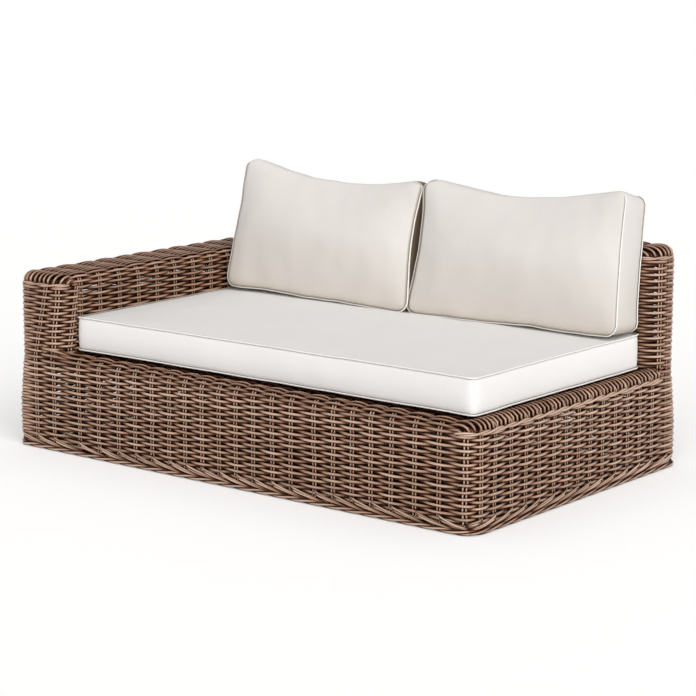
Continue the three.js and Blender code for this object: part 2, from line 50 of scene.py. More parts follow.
# Plan and heights of the wicker shell, at its outer faces
WALL_X = 0.805
WALL_Y = 0.485
ARM_INNER = -0.625
BACK_FRONT = 0.355
DECK_TOP = 0.286
ARM_TOP = 0.508
BACK_TOP = 0.622
EDGE_ROLL = 0.035
FRONT_CORNER = 0.052
FOOT_CORNER = 0.022
FOOT_CORNER_TOP = 0.13
BORDER_CORNER = 0.033
ARM_CORNER = 0.065
BACK_CORNER = 0.065
INNER_CORNER = 0.010
BORDER_TOP = 0.042
BORDER_FOOT = 0.0078

# Heights at which the walls begin to roll over into the tops, the length of a roll, and heights of bindings
SEAT_ROLL = DECK_TOP - EDGE_ROLL
ARM_ROLL = ARM_TOP - EDGE_ROLL
BACK_ROLL = BACK_TOP - EDGE_ROLL
ROLL_LENGTH = EDGE_ROLL * math.pi / 2
SEAT_BINDING = 0.2555
ARM_BINDING = 0.4742
BACK_BINDING = BACK_ROLL + 0.0015

# The weave: weavers run level round the walls, in front of and behind pairs of stakes
WEAVER_RADIUS = 0.0041
STAKE_RADIUS = 0.0028
STAKE_SPREAD = 0.0045
WEAVE_SWING = 0.0056
WEAVE_DEPTH = WEAVER_RADIUS + WEAVE_SWING
FIRST_COURSE = 0.0565
COURSE_PITCH = 0.0087
BORDER_COURSES = -5
INSET_COURSES = -2
BORDER_INSET = 0.006
BORDER_RUN = 0.152
BORDER_GAP = 0.063
BASE_COURSES = 23
INNER_COURSES_START = 25
SEAT_COURSES_END = 29
ARM_COURSES_END = 48
BACK_COURSES_END = 61
TOP_PITCH = 0.0087
SEAT_WEAVE_END = 0.417
ARM_TOP_STRANDS = 26
BACK_TOP_STRANDS = 21
TOP_RADIUS = 0.0040
TOP_SWING = 0.0046
TOP_DROP = 0.004
TUCK_REACH = 0.018
TUCK_DEPTH = 0.75
WEAVER_SIDES = 6
STAKE_SIDES = 5
STATIONS = 6
DECK_STATIONS = 4
GRAIN_ROUND = 0.004
STAKE_FOOT = 0.012
STAKE_OVERRUN = 0.006
LEAN_START = 0.27
LEAN_HEIGHT = 0.21
BINDING_PITCH = 0.115
BINDING_RADIUS = 0.0035
BRAID_SIDES = 8
BRAID_RADIUS = 0.0028
ROPE_RADIUS = 0.0030
ROPE_TURNS = 28
MITRE_REACH = 0.014
MITRE_TUCK = 0.008

# Distances between points along a plan, a strand, a stake and a top's edge, and counts of points
PLAN_STEP = 0.004
STRAND_STEP = 0.002
STAKE_STEP = 0.0042
DRAPE_STEP = 0.0004
UPRIGHT_POINTS = 20
BRAID_POINTS = 26

# Corners where the weavers lie tight and look thicker, how far from each they do, and how much thicker
SNUG_CORNERS = ((-0.79, -0.47), (0.79, 0.47))
SNUG_REACH = 0.042
SNUG_THICK_REACH = 0.07
SNUG_THICKENING = 0.14

# Painted light on the weave beside the seat cushion, how far out its painted shade reaches, and painted light
# on the arm's inner wall
BESIDE_SEAT_LIGHT = 0.42
BESIDE_SEAT_REACH = 0.030
INNER_WALL_LIGHT = 0.88

# Where the pairs of stakes stand, in millimetres along each face
ARM_FRONT_STAKES = (-733, -664)
FRONT_STAKES = (
    -563, -484, -410, -344, -280, -216, -157, -95, -33, 27,
    87, 153, 218, 296, 359, 421, 483, 547, 622, 697,
)
RIGHT_STAKES = (-377, -308, -242, -183, -115, -59, -2, 55, 113, 177, 237, 298, 362, 436)
ARM_SIDE_STAKES = tuple(-392 + 78.4 * i for i in range(11))
LAST_SEAT_STAKE = 767

# Cushions: how much wider and shallower the seat's cover is cut than its solid, and the back pads' cut and lean
SEAT_GROWTH = 0.006
SEAT_SWELL = 0.004
BACK_PAD_DEPTH = 0.360
BACK_PADS = {
    "left": dict(
        lean=math.radians(12), inner=1, draws=(0.004, 0.011, 0.037, 0.002),
        pulls=((0.0, 0.009), (0.0, -0.002), (0.022, 0.019), (0.0, -0.006))),
    "right": dict(
        lean=math.radians(9.5), inner=-1, draws=(0.013, 0.004, 0.035, 0.002),
        pulls=((-0.010, -0.002), (0.002, 0.006), (0.006, 0.006), (-0.013, 0.021))),
}
COVER_ROWS = 8
STRIP_BULGE = 0.002
PIPING_RADIUS = 0.0025
PIPING_PROUD = 0.0004
PIPING_TUCK = 0.0066
PIPING_TUCK_WIDTH = 0.016
HEAD_ROLL_WIDTH = 0.014
CLOTH = dict(
    quality=5, use_pressure=True, uniform_pressure_force=4.0,
    tension_stiffness=12, compression_stiffness=12, shear_stiffness=5, bending_stiffness=0.4)
CLOTH_FRAMES = 20

# Light, and the camera's place, direction in degrees and lens in millimetres
SKY_LEVEL = 0.47
KEY_LEVEL = 3.15
KEY_FROM = (0.69, -0.60, 0.42)
KEY_SPREAD = 70
FLOOR_GLOW = 0.225
FLOOR_SIZE = 160
EYE = (3.9095, -4.8243, 1.5017)
AZIMUTH = 38.84
ELEVATION = 10.90
LENS = 116.5


def unit(v):
    return v / np.maximum(np.linalg.norm(v, axis=-1, keepdims=True), 1e-12)


def lengths(points):
    """Distance along a line of points."""
    return np.r_[0, np.cumsum(np.linalg.norm(np.diff(points, axis=0), axis=1))]


def sample(path, places):
    """Points and normals of a path at distances along it."""
    s = lengths(path[0])
    points, normals = (np.stack([np.interp(places, s, v) for v in values.T], axis=1) for values in path)
    return points, unit(normals)


def evenly(path, step):
    """Points and normals of a path at even steps."""
    total = lengths(path[0])[-1]
    return sample(path, np.linspace(0, total, math.ceil(total / step) + 1))


def rounded_plan(corners):
    """Points and outward normals once round a counterclockwise plan of (x, y, radius) corners."""
    points, normals = [], []
    for i, (x, y, radius) in enumerate(corners):
        corner = np.array((x, y))
        into = unit(corner - np.array(corners[i - 1][:2]))
        out = unit(np.array(corners[(i + 1) % len(corners)][:2]) - corner)
        turn = math.atan2(into[0] * out[1] - into[1] * out[0], into @ out)
        side = math.copysign(1, turn)
        outward = np.array((into[1], -into[0]))
        centre = corner - into * radius * math.tan(abs(turn) / 2) - outward * radius * side
        for a in np.linspace(0, turn, 1 + math.ceil(abs(turn) * radius / PLAN_STEP)):
            c, s = math.cos(a), math.sin(a)
            n = np.array((c * outward[0] - s * outward[1], s * outward[0] + c * outward[1]))
            points.append(centre + radius * side * n)
            normals.append(n)
    return evenly((np.array(points + points[:1]), np.array(normals + normals[:1])), PLAN_STEP)


def place_on(points, x, y):
    """How far along a plan the point nearest to (x, y) lies."""
    return lengths(points)[np.argmin(np.hypot(points[:, 0] - x, points[:, 1] - y))]


def level(plan, z, inset=0.0):
    """A plan as a line in space at height z."""
    points, normals = plan
    n = len(points)
    return np.c_[points - normals * inset, np.full(n, z)], np.c_[normals, np.zeros(n)]


def stretch(points, start, end):
    """Distances round a closed plan at which a part of it starts and ends."""
    a, b = place_on(points, *start), place_on(points, *end)
    return a, (b if b > a else b + lengths(points)[-1])


def cut(plan, start, end):
    """The part of a closed plan from one point round to another."""
    return sample(plan, np.arange(*stretch(plan[0], start, end), PLAN_STEP) % lengths(plan[0])[-1])


def join(*parts):
    """Paths one after another as one."""
    return tuple(np.concatenate([p[k] for p in parts]) for k in (0, 1))


def backwards(path):
    return tuple(values[::-1] for values in path)


def crossings(points, axis, values):
    """Distances along a line at which it is nearest to each value on an axis."""
    s = lengths(points)
    return [s[np.argmin(np.abs(points[:, axis] - value))] for value in values]


class Top:
    """A flat top whose edges roll down into walls. Bounds left out have no roll."""

    def __init__(self, height, x0=-9, x1=9, y0=-9, y1=9, radius=None, trench=None):
        self.height, self.x, self.y = height, (x0, x1), (y0, y1)
        self.radius = radius or {}
        self.trench = trench

    def edge(self, xy):
        """Distance to the nearest edge, and that edge's outward normal."""
        x, y = xy.T
        gaps = np.stack([x - self.x[0], self.x[1] - x, y - self.y[0], self.y[1] - y])
        nearest = np.argmin(gaps, axis=0)
        distance = gaps[nearest, np.arange(len(x))]
        normal = np.array([(-1, 0), (1, 0), (0, -1), (0, 1)], float)[nearest]
        for (i, j), radius in self.radius.items():
            side = np.array((2 * i - 1, 2 * j - 1))
            away = xy - ((self.x[i], self.y[j]) - side * radius)
            inside = np.all(away * side > 0, axis=1)
            distance[inside] = radius - np.linalg.norm(away[inside], axis=1)
            normal[inside] = unit(away[inside])
        return distance, normal

    def drape(self, start, end, down=(0, 0)):
        """The line over the top above start to end, carried down the walls at its two ends."""
        start, end = np.array(start, float), np.array(end, float)
        n = math.ceil(np.linalg.norm(end - start) / DRAPE_STEP)
        xy = start + (end - start) * np.linspace(0, 1, n)[:, None]
        distance, normal = self.edge(xy)
        keep = distance >= 0
        xy, distance, normal = xy[keep], distance[keep], normal[keep]
        lean = np.clip(1 - distance / EDGE_ROLL, 0, 1)
        rise = np.sqrt(1 - lean**2)
        points = np.c_[xy, self.height - EDGE_ROLL * (1 - rise)]
        if self.trench:
            inset, half, depth = self.trench
            away = np.clip(np.abs(distance - inset) / half, 0, 1)
            points[:, 2] -= depth * np.cos(math.pi / 2 * away) ** 2
        normals = np.c_[normal * lean[:, None], rise]
        for tip, drop in zip((0, -1), down):
            if drop:
                where = tip % (len(points) + 1)
                points = np.insert(points, where, points[tip] - (0, 0, drop), axis=0)
                normals = np.insert(normals, where, (*normal[tip], 0), axis=0)
        return evenly((points, normals), STRAND_STEP)


def daylight(points):
    """Painted light of a point of the weave: painted shade on the arm's inner wall and beside or under the
    seat cushion, where the cushions shade it."""
    low, high = SEAT_CUSHION
    beyond = np.maximum(low[:2] - points[:, :2], points[:, :2] - high[:2]).max(axis=1)
    level_with_seat = (points[:, 2] > DECK_TOP - 0.03) & (points[:, 2] < DECK_TOP + 0.004)
    inner_wall = (
        (np.abs(points[:, 0] - ARM_INNER) < 0.02) & (points[:, 1] > -0.40)
        & (points[:, 2] > DECK_TOP) & (points[:, 2] < ARM_TOP - 0.02))
    beside = np.clip(BESIDE_SEAT_LIGHT + beyond / BESIDE_SEAT_REACH, BESIDE_SEAT_LIGHT, 1)
    return np.where(level_with_seat, beside, 1) * np.where(inner_wall, INNER_WALL_LIGHT, 1)


def in_scene(name, data):
    """A new object, in the scene."""
    thing = bpy.data.objects.new(name, data)
    bpy.context.scene.collection.objects.link(thing)
    return thing


def set_attribute(mesh, name, values):
    """Gives each point of a mesh a number, or a vector where values has rows."""
    kind, key = ("FLOAT_VECTOR", "vector") if values.ndim == 2 else ("FLOAT", "value")
    mesh.attributes.new(name, kind, "POINT").data.foreach_set(key, values.ravel())


class Strands:
    """Round strands, collected into one mesh."""

    def __init__(self):
        self.points, self.quads, self.caps = [], [], []
        self.grain, self.tone, self.open = [], [], []
        self.count = 0

    def add(self, centre, normals, radius, sides, closed=False, tone=None, depth=1.0, woven=True):
        """One strand along centre. Normals face out of the weave. Depth is 1 where it lies at the face, and 0
        behind, and the strand's painted shade deepens behind. Each point keeps its painted light: painted shade on
        the sides turned from the face and underneath, and where daylight dims it. A strand that is not woven gets
        painted shade only down in its seam."""
        n = len(centre)
        across_point = np.roll(centre, -1, axis=0) - np.roll(centre, 1, axis=0)
        along = unit(across_point if closed else np.gradient(centre, axis=0))
        up = unit(normals - along * np.sum(normals * along, axis=1, keepdims=True))
        across = np.cross(along, up)
        turns = np.arange(sides) * 2 * math.pi / sides
        radius = np.broadcast_to(radius, (n,))[:, None, None]
        ring = np.cos(turns)[None, :, None] * up[:, None] + np.sin(turns)[None, :, None] * across[:, None]
        self.points.append((centre[:, None] + ring * radius).reshape(-1, 3))
        i, j = np.arange(sides), (np.arange(sides) + 1) % sides
        rows = np.arange(n if closed else n - 1)[:, None] * sides
        following = (rows + sides) % (n * sides)
        quad = np.stack([rows + i, rows + j, following + j, following + i], axis=-1).reshape(-1, 4)
        self.quads.append(quad + self.count)
        if not closed:
            self.caps.append(self.count + i[::-1])
            self.caps.append(self.count + (n - 1) * sides + i)
        far = lengths(centre) + chance.uniform(0, 50)
        rounds = np.c_[np.cos(turns), np.sin(turns)] * GRAIN_ROUND
        self.grain.append(np.c_[np.repeat(far, sides), np.tile(rounds, (n, 1))])
        self.tone.append(np.full(n * sides, chance.uniform() if tone is None else tone))
        # Painted light of each point: painted shade on sides turned from the face, on undersides, on strands lying
        # on tops, behind the face, and where daylight dims it
        outward = np.clip(0.14 + 0.86 * np.cos(turns), 0, 1)[None, :]
        sky = 0.20 + 0.80 * (0.5 + 0.5 * ring[:, :, 2]) * (1 - 0.58 * np.abs(up[:, None, 2]))
        depth = np.broadcast_to(depth, (n,))[:, None]
        shaded = sky * daylight(centre)[:, None] if woven else np.ones_like(sky)
        self.open.append((outward * shaded * (0.10 + 0.90 * depth**0.7)).ravel())
        self.count += n * sides

    def build(self, name, material, body="frame", slot="wicker"):
        """The strands so far as one piece."""
        quads = np.concatenate(self.quads)
        corners = np.concatenate([quads.ravel(), *self.caps])
        starts = np.r_[0, np.cumsum([4] * len(quads) + [len(cap) for cap in self.caps])][:-1]
        mesh = bpy.data.meshes.new(name)
        mesh.vertices.add(self.count)
        mesh.vertices.foreach_set("co", np.concatenate(self.points).ravel())
        mesh.loops.add(len(corners))
        mesh.polygons.add(len(starts))
        mesh.polygons.foreach_set("loop_start", starts)
        mesh.polygons.foreach_set("vertices", corners)
        mesh.update(calc_edges=True)
        mesh.polygons.foreach_set("use_smooth", np.ones(len(starts), bool))
        for key in ("grain", "tone", "open"):
            set_attribute(mesh, key, np.concatenate(getattr(self, key)))
        mesh.materials.append(material)
        piece = in_scene(name, mesh)
        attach(piece, body)
        return piece


def swing(phase):
    """Side on which a weaver passes, 1 in front and -1 behind, at each stake."""
    c = np.cos(math.pi * phase)
    return c * (1.3 - 0.3 * c * c)


def ripple(places, size, rate):
    """A gentle wave along a strand, begun at a chance place."""
    return size * np.sin(places * rate + chance.uniform(0, 6))


def weave(strands, path, knots, first, course, closed=False, hold=None, tuck=(False, False),
          stations=STATIONS, radius=WEAVER_RADIUS, swing_by=WEAVE_SWING):
    """Adds one weaver along a path. Knots are the distances at which it meets the stakes, the first of which has
    the number first. Past the stakes numbered in hold it stays on its side, and at a tucked end it dives in behind
    the strand laid over it."""
    total = lengths(path[0])[-1]
    knots = np.asarray(knots, float)
    index = first + np.arange(len(knots))
    if closed:
        knots = np.r_[knots[-1] - total, knots, knots[0] + total]
        index = np.r_[index[0] - 1, index, index[-1] + 1]
        phase = np.arange(first * stations, (first + len(index) - 2) * stations) / stations
        place = np.interp(phase, index, knots) % total
    else:
        gap = np.mean(np.diff(knots))
        before = np.arange(math.ceil(max(knots[0], 0) / gap) + 1, 0, -1)
        after = np.arange(1, math.ceil(max(total - knots[-1], 0) / gap) + 2)
        knots = np.r_[knots[0] - gap * before, knots, knots[-1] + gap * after]
        index = np.r_[index[0] - before, index, index[-1] + after]
        low, high = np.interp((0, total), knots, index)
        inner = np.arange(math.ceil(low * stations + 0.3), math.floor(high * stations - 0.3) + 1) / stations
        phase = np.r_[low, inner, high]
        place = np.interp(phase, index, knots)
    held = phase if hold is None else np.clip(phase, *hold)
    side = swing(held + course) * chance.uniform(0.9, 1.06)
    p, n = sample(path, place)
    radius = radius * chance.uniform(0.96, 1.03)
    for corner in SNUG_CORNERS:
        apart = np.sum((p[:, :2] - corner) ** 2, axis=1)
        near = np.exp(-apart / SNUG_REACH**2)
        side = side * (1 - 0.84 * near) + 0.78 * near
        radius = radius * (1 + SNUG_THICKENING * np.exp(-apart / SNUG_THICK_REACH**2))
    for end, tucked in enumerate(tuck):
        if tucked:
            away = place if end == 0 else total - place
            share = np.clip(1 - away / TUCK_REACH, 0, 1)
            side = side * (1 - share) - TUCK_DEPTH * share
    drift = ripple(phase, 0.0006, 1.7) + ripple(phase, 0.0004, 4.1)
    lift = unit(np.cross(n, unit(np.gradient(p, axis=0))))
    centre = p + n * (side * swing_by - WEAVE_DEPTH)[:, None] + lift * drift[:, None]
    # Painted shade: the weaver is darker where it passes behind the stakes
    strands.add(centre, n, radius, WEAVER_SIDES, closed, depth=np.clip(0.5 + 0.5 * side, 0, 1))


def stake(strands, path, number, inside=0):
    """Adds a pair of stakes side by side along a path, with painted shade where the weavers pass over it. Their
    number is that on the outer walls, and inside is what it differs by on the arm's inner wall."""
    total = lengths(path[0])[-1]
    places = np.linspace(0, total, max(3, math.ceil(total / STAKE_STEP)))
    p, n = sample(path, places)
    across = unit(np.cross(np.gradient(p, axis=0), n))
    sway = ripple(places, 0.0012, 9)
    turn = math.pi * ((p[:, 2] - FIRST_COURSE) / COURSE_PITCH - number - 1 - inside * (n[:, 0] > 0.5))
    # Painted shade on the stakes where the weavers lie over them
    shown = 1 - 0.90 * (0.5 - 0.5 * np.cos(turn)) * np.clip(1 - 3 * np.abs(n[:, 2]), 0, 1)
    for side in (-1, 1):
        centre = p - n * WEAVE_DEPTH + across * (side * STAKE_SPREAD + sway)[:, None]
        strands.add(centre, n, STAKE_RADIUS, STAKE_SIDES, depth=shown)


# The shell's plans, and the stakes met on the way round them
@functools.lru_cache(maxsize=None)
def plan_round_base(radius):
    return rounded_plan([
        (-WALL_X, -WALL_Y, radius), (WALL_X, -WALL_Y, FRONT_CORNER),
        (WALL_X, WALL_Y, radius), (-WALL_X, WALL_Y, radius),
    ])


def base_plan_at(z):
    """The plan of the lower walls. All its corners but the front right grow tighter towards the border, and
    rounder again in it."""
    share = min(max((z - FOOT_CORNER_TOP) / (DECK_TOP - FOOT_CORNER_TOP), 0), 1)
    in_border = max(1 - z / BORDER_TOP, 0)
    return plan_round_base(round(FOOT_CORNER + (FRONT_CORNER - FOOT_CORNER) * share
                                 + (BORDER_CORNER - FOOT_CORNER) * in_border, 4))


base_plan = base_plan_at(DECK_TOP)
foot_plan = base_plan_at(0)
upper_plan = rounded_plan([
    (-WALL_X, -WALL_Y, FRONT_CORNER), (ARM_INNER, -WALL_Y, ARM_CORNER),
    (ARM_INNER, BACK_FRONT, INNER_CORNER), (WALL_X, BACK_FRONT, BACK_CORNER),
    (WALL_X, WALL_Y, FRONT_CORNER), (-WALL_X, WALL_Y, FRONT_CORNER),
])
back_plan = rounded_plan([
    (ARM_INNER, BACK_FRONT, BACK_CORNER - mm), (WALL_X, BACK_FRONT, BACK_CORNER),
    (WALL_X, WALL_Y, FRONT_CORNER), (ARM_INNER, WALL_Y, BACK_CORNER - mm),
])
deck = Top(DECK_TOP, x1=WALL_X, y0=-WALL_Y, radius={(1, 0): FRONT_CORNER}, trench=(0.062, 0.024, 0.008))
arm = Top(ARM_TOP, -WALL_X, ARM_INNER, -WALL_Y, WALL_Y, {
    (0, 0): FRONT_CORNER, (1, 0): ARM_CORNER, (0, 1): FRONT_CORNER})
back = Top(BACK_TOP, ARM_INNER, WALL_X, BACK_FRONT, WALL_Y, {
    (0, 0): BACK_CORNER - mm, (0, 1): BACK_CORNER - mm, (1, 0): BACK_CORNER - mm, (1, 1): FRONT_CORNER})

front_feet = [(x * mm, -WALL_Y) for x in FRONT_STAKES]
arm_front_feet = [(x * mm, -WALL_Y) for x in ARM_FRONT_STAKES]
front_corner_feet = [(0.776, -0.474), (0.803, -0.437)]
right_feet = [(WALL_X, y * mm) for y in RIGHT_STAKES]
rear_corner_feet = [(0.786, 0.466)]
rear_feet = [(x * mm, WALL_Y) for x in FRONT_STAKES[::-1] + ARM_FRONT_STAKES[::-1]]
rear_left_feet = [(-0.787, 0.467)]
left_feet = [(-WALL_X, y * mm) for y in ARM_SIDE_STAKES[::-1]]
front_left_feet = [(-0.787, -0.467)]
arm_corner_feet = [(-0.629, -0.442)]
arm_inner_feet = [(ARM_INNER, y * mm) for y in ARM_SIDE_STAKES if y * mm < BACK_FRONT - 0.025]
arm_inner_feet.append((ARM_INNER, 0.342))
back_front_feet = [(x * mm, BACK_FRONT) for x in FRONT_STAKES]
back_corner_feet = [(WALL_X, 0.394)]
back_left_feet = [(-0.606, 0.466), (ARM_INNER, 0.42), (-0.606, 0.374)]

round_rear = rear_corner_feet + rear_feet + rear_left_feet + left_feet + front_left_feet
base_feet = arm_front_feet + front_feet + front_corner_feet + right_feet + round_rear
back_feet = (back_front_feet + back_corner_feet + right_feet[-1:] + rear_corner_feet
             + rear_feet[:len(FRONT_STAKES)] + back_left_feet)
seat_crossings = [x * mm for x in FRONT_STAKES + (LAST_SEAT_STAKE,)]

# Numbers of some pairs of stakes: the first on the front, the last on the right and the first on the arm's outer
# side, counted round the base, and the first on the back's front, counted round the arm and the back
FIRST_FRONT = base_feet.index(front_feet[0])
RIGHT_END = base_feet.index(right_feet[-1])
FIRST_LEFT = base_feet.index(left_feet[0])
FIRST_BACK_FRONT = 16


def arm_front_at(z):
    """The feet round the arm's front at a height: front left corner, the two on the front, and the inner corner.
    They lean over more and more from the seat up to the arm's top."""
    s = min(max((z - LEAN_START) / LEAN_HEIGHT, 0), 1)
    return [(-0.787 + 0.030 * s, -0.467 - 0.018 * s), (-0.733 + 0.052 * s, -WALL_Y),
            (-0.664 + 0.028 * s, -WALL_Y + 0.012 * s), (-0.629 + 0.004 * s, -0.442 + 0.036 * s)]


def upper_feet_at(z):
    """The feet met on the way round the arm and the back at a height."""
    left, *front, inner = arm_front_at(z)
    return (front + [inner] + arm_inner_feet + back_front_feet + back_corner_feet + right_feet[-1:]
            + round_rear[:-1] + [left])


def course_height(course):
    return FIRST_COURSE + course * COURSE_PITCH


def places_on(plan, feet):
    """Distances along a plan at which the stakes stand."""
    return [place_on(plan[0], *foot) for foot in feet]


def round_course(strands, plan, feet, first, course):
    """A weaver that runs once round a plan, and a little further in where the border covers it."""
    found = places_on(plan, feet)
    order = int(np.argmin(found))
    inset = BORDER_INSET if course < INSET_COURSES else 0
    path = level(plan, course_height(course), inset)
    weave(strands, path, found[order:] + found[:order], first + order, course, closed=True)


def lower_weave(material):
    """Courses that run round all four sides, from behind the border up to the rolled edge of the seat."""
    strands = Strands()
    for course in range(BORDER_COURSES, BASE_COURSES):
        round_course(strands, base_plan_at(course_height(course)), base_feet, 0, course)
    piece = strands.build("base_weave", material)
    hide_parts("front_skin", "right_end_skin")


def upper_weave(material):
    """Courses of the arm and the back, from the seat's rolled edge up to the arm's. The lowest run on along the
    seat's rolled front."""
    strands = Strands()
    outer_feet = right_feet[-1:] + round_rear + arm_front_feet
    inner_feet = arm_inner_feet + back_front_feet + back_corner_feet
    for course in range(BASE_COURSES, SEAT_COURSES_END):
        z = course_height(course)
        start, feet, first = (WALL_X, 0.40), outer_feet, RIGHT_END
        if z > DECK_TOP:
            start, feet, first = (ARM_INNER, -0.415), inner_feet + outer_feet, RIGHT_END - len(inner_feet)
        part = cut(upper_plan, start, (-0.68, -WALL_Y))
        y = -WALL_Y + EDGE_ROLL * (1 - math.cos((z - SEAT_ROLL) / EDGE_ROLL))
        roll = deck.drape((-0.585, y), (0.9, y), down=(0, 0.001))
        path = join(level(part, z), roll)
        start_of_roll = lengths(path[0])[len(part[0])]
        knots = places_on(part, feet) + [start_of_roll + k for k in crossings(roll[0], 0, seat_crossings)[:-1]]
        weave(strands, path, knots, first, course, tuck=(False, True))
    part = cut(upper_plan, (-0.70, -WALL_Y), (ARM_INNER, -0.36))
    knots = places_on(part, arm_front_feet[1:] + arm_corner_feet + arm_inner_feet[:2])
    for course in range(INNER_COURSES_START, SEAT_COURSES_END):
        weave(strands, level(part, course_height(course)), knots, 1, course)
    for course in range(SEAT_COURSES_END, ARM_COURSES_END):
        round_course(strands, upper_plan, upper_feet_at(course_height(course)), 0, course)
    piece = strands.build("arm_and_back_weave", material)
    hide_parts("arm_outer_skin", "arm_front_skin", "arm_inner_skin", "back_front_skin", "rear_skin")


def seat_weave(material):
    """Weavers of the seat, which run along it and turn down over its open end."""
    strands = Strands()
    course = SEAT_COURSES_END
    inset = EDGE_ROLL + course_height(course) - (SEAT_ROLL + ROLL_LENGTH)
    last = FIRST_FRONT + len(FRONT_STAKES)
    while -WALL_Y + inset < SEAT_WEAVE_END:
        y = -WALL_Y + inset
        beside_back = y > BACK_FRONT - 0.004
        start = 0.70 if beside_back else ARM_INNER - (0.03 if y < -0.41 else 0.004)
        path = deck.drape((start, y), (0.9, y), down=(0, TOP_DROP))
        knots, first = crossings(path[0], 0, seat_crossings), FIRST_FRONT
        if beside_back:
            knots, first = [knots[-1] - 0.07, knots[-1]], last - 1
        weave(strands, path, knots, first, course, hold=(-1000, last), tuck=(False, True),
              stations=STATIONS if y < -0.38 else DECK_STATIONS, radius=TOP_RADIUS)
        inset += TOP_PITCH
        course += 1
    piece = strands.build("seat_weave", material)
    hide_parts("seat_deck", "seat_front_edge", "seat_right_edge")


def top_strands(top, width, lower_course, count):
    """Insets across a top of its strands, evenly spaced from the wall on one side to the wall on the other."""
    wall = top.height - EDGE_ROLL - course_height(lower_course)
    total = 2 * wall + 2 * ROLL_LENGTH + width - 2 * EDGE_ROLL
    for i in range(1, count + 1):
        s = total * i / (count + 1) - wall
        if s < ROLL_LENGTH:
            angle = max(s, 0.0004) / EDGE_ROLL
            yield i, EDGE_ROLL * (1 - math.cos(angle))
        elif s < ROLL_LENGTH + width - 2 * EDGE_ROLL:
            yield i, s - ROLL_LENGTH + EDGE_ROLL
        else:
            angle = (total - 2 * wall - s) / EDGE_ROLL
            yield i, width - EDGE_ROLL * (1 - math.cos(max(angle, 0.012)))


def top_weavers(strands, top, width, courses_end, count, line, axis, met, first):
    """Weavers of a top, which turn down over both of its ends. Line gives a weaver's ends by its inset, and met
    the places of its stakes on an axis."""
    for i, inset in top_strands(top, width, courses_end - 1, count):
        path = top.drape(*line(inset), down=(TOP_DROP, TOP_DROP))
        weave(strands, path, crossings(path[0], axis, met), first, courses_end - 1 + i,
              hold=(first, first + len(met) - 1), tuck=(True, True), radius=TOP_RADIUS, swing_by=TOP_SWING)


def arm_top_weave(material):
    """Weavers of the arm's top."""
    strands = Strands()
    top_weavers(strands, arm, WALL_X + ARM_INNER, ARM_COURSES_END, ARM_TOP_STRANDS,
                lambda inset: ((-WALL_X + inset, 0.6), (-WALL_X + inset, -0.6)), 1,
                [0.447] + [y for _, y in left_feet] + [-0.447], FIRST_LEFT - 1)
    piece = strands.build("arm_top_weave", material)
    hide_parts("arm_top_skin")


def back_top_weave(material):
    """Upper courses of the back, and the weavers of its top."""
    strands = Strands()
    for course in range(ARM_COURSES_END, BACK_COURSES_END):
        round_course(strands, back_plan, back_feet, FIRST_BACK_FRONT, course)
    top_weavers(strands, back, WALL_Y - BACK_FRONT, BACK_COURSES_END, BACK_TOP_STRANDS,
                lambda inset: ((-0.8, BACK_FRONT + inset), (0.9, BACK_FRONT + inset)), 0,
                [-0.615] + [x for x, _ in back_front_feet] + [0.760], FIRST_BACK_FRONT - 1)
    piece = strands.build("back_top_weave", material)
    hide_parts("back_top_skin")


def upright(foot, plan, low, high):
    """A wall's line straight up at one foot. The foot and the wall's plan may each change with height."""
    points, normals = [], []
    for z in np.linspace(low, high, UPRIGHT_POINTS):
        x, y = foot(z) if callable(foot) else foot
        outline, outward = plan(z) if callable(plan) else plan
        i = np.argmin(np.hypot(outline[:, 0] - x, outline[:, 1] - y))
        points.append((*outline[i], z))
        normals.append((*outward[i], 0.0))
    return np.array(points), np.array(normals)


def outer_wall(foot, high):
    return upright(foot, base_plan_at, STAKE_FOOT, high)


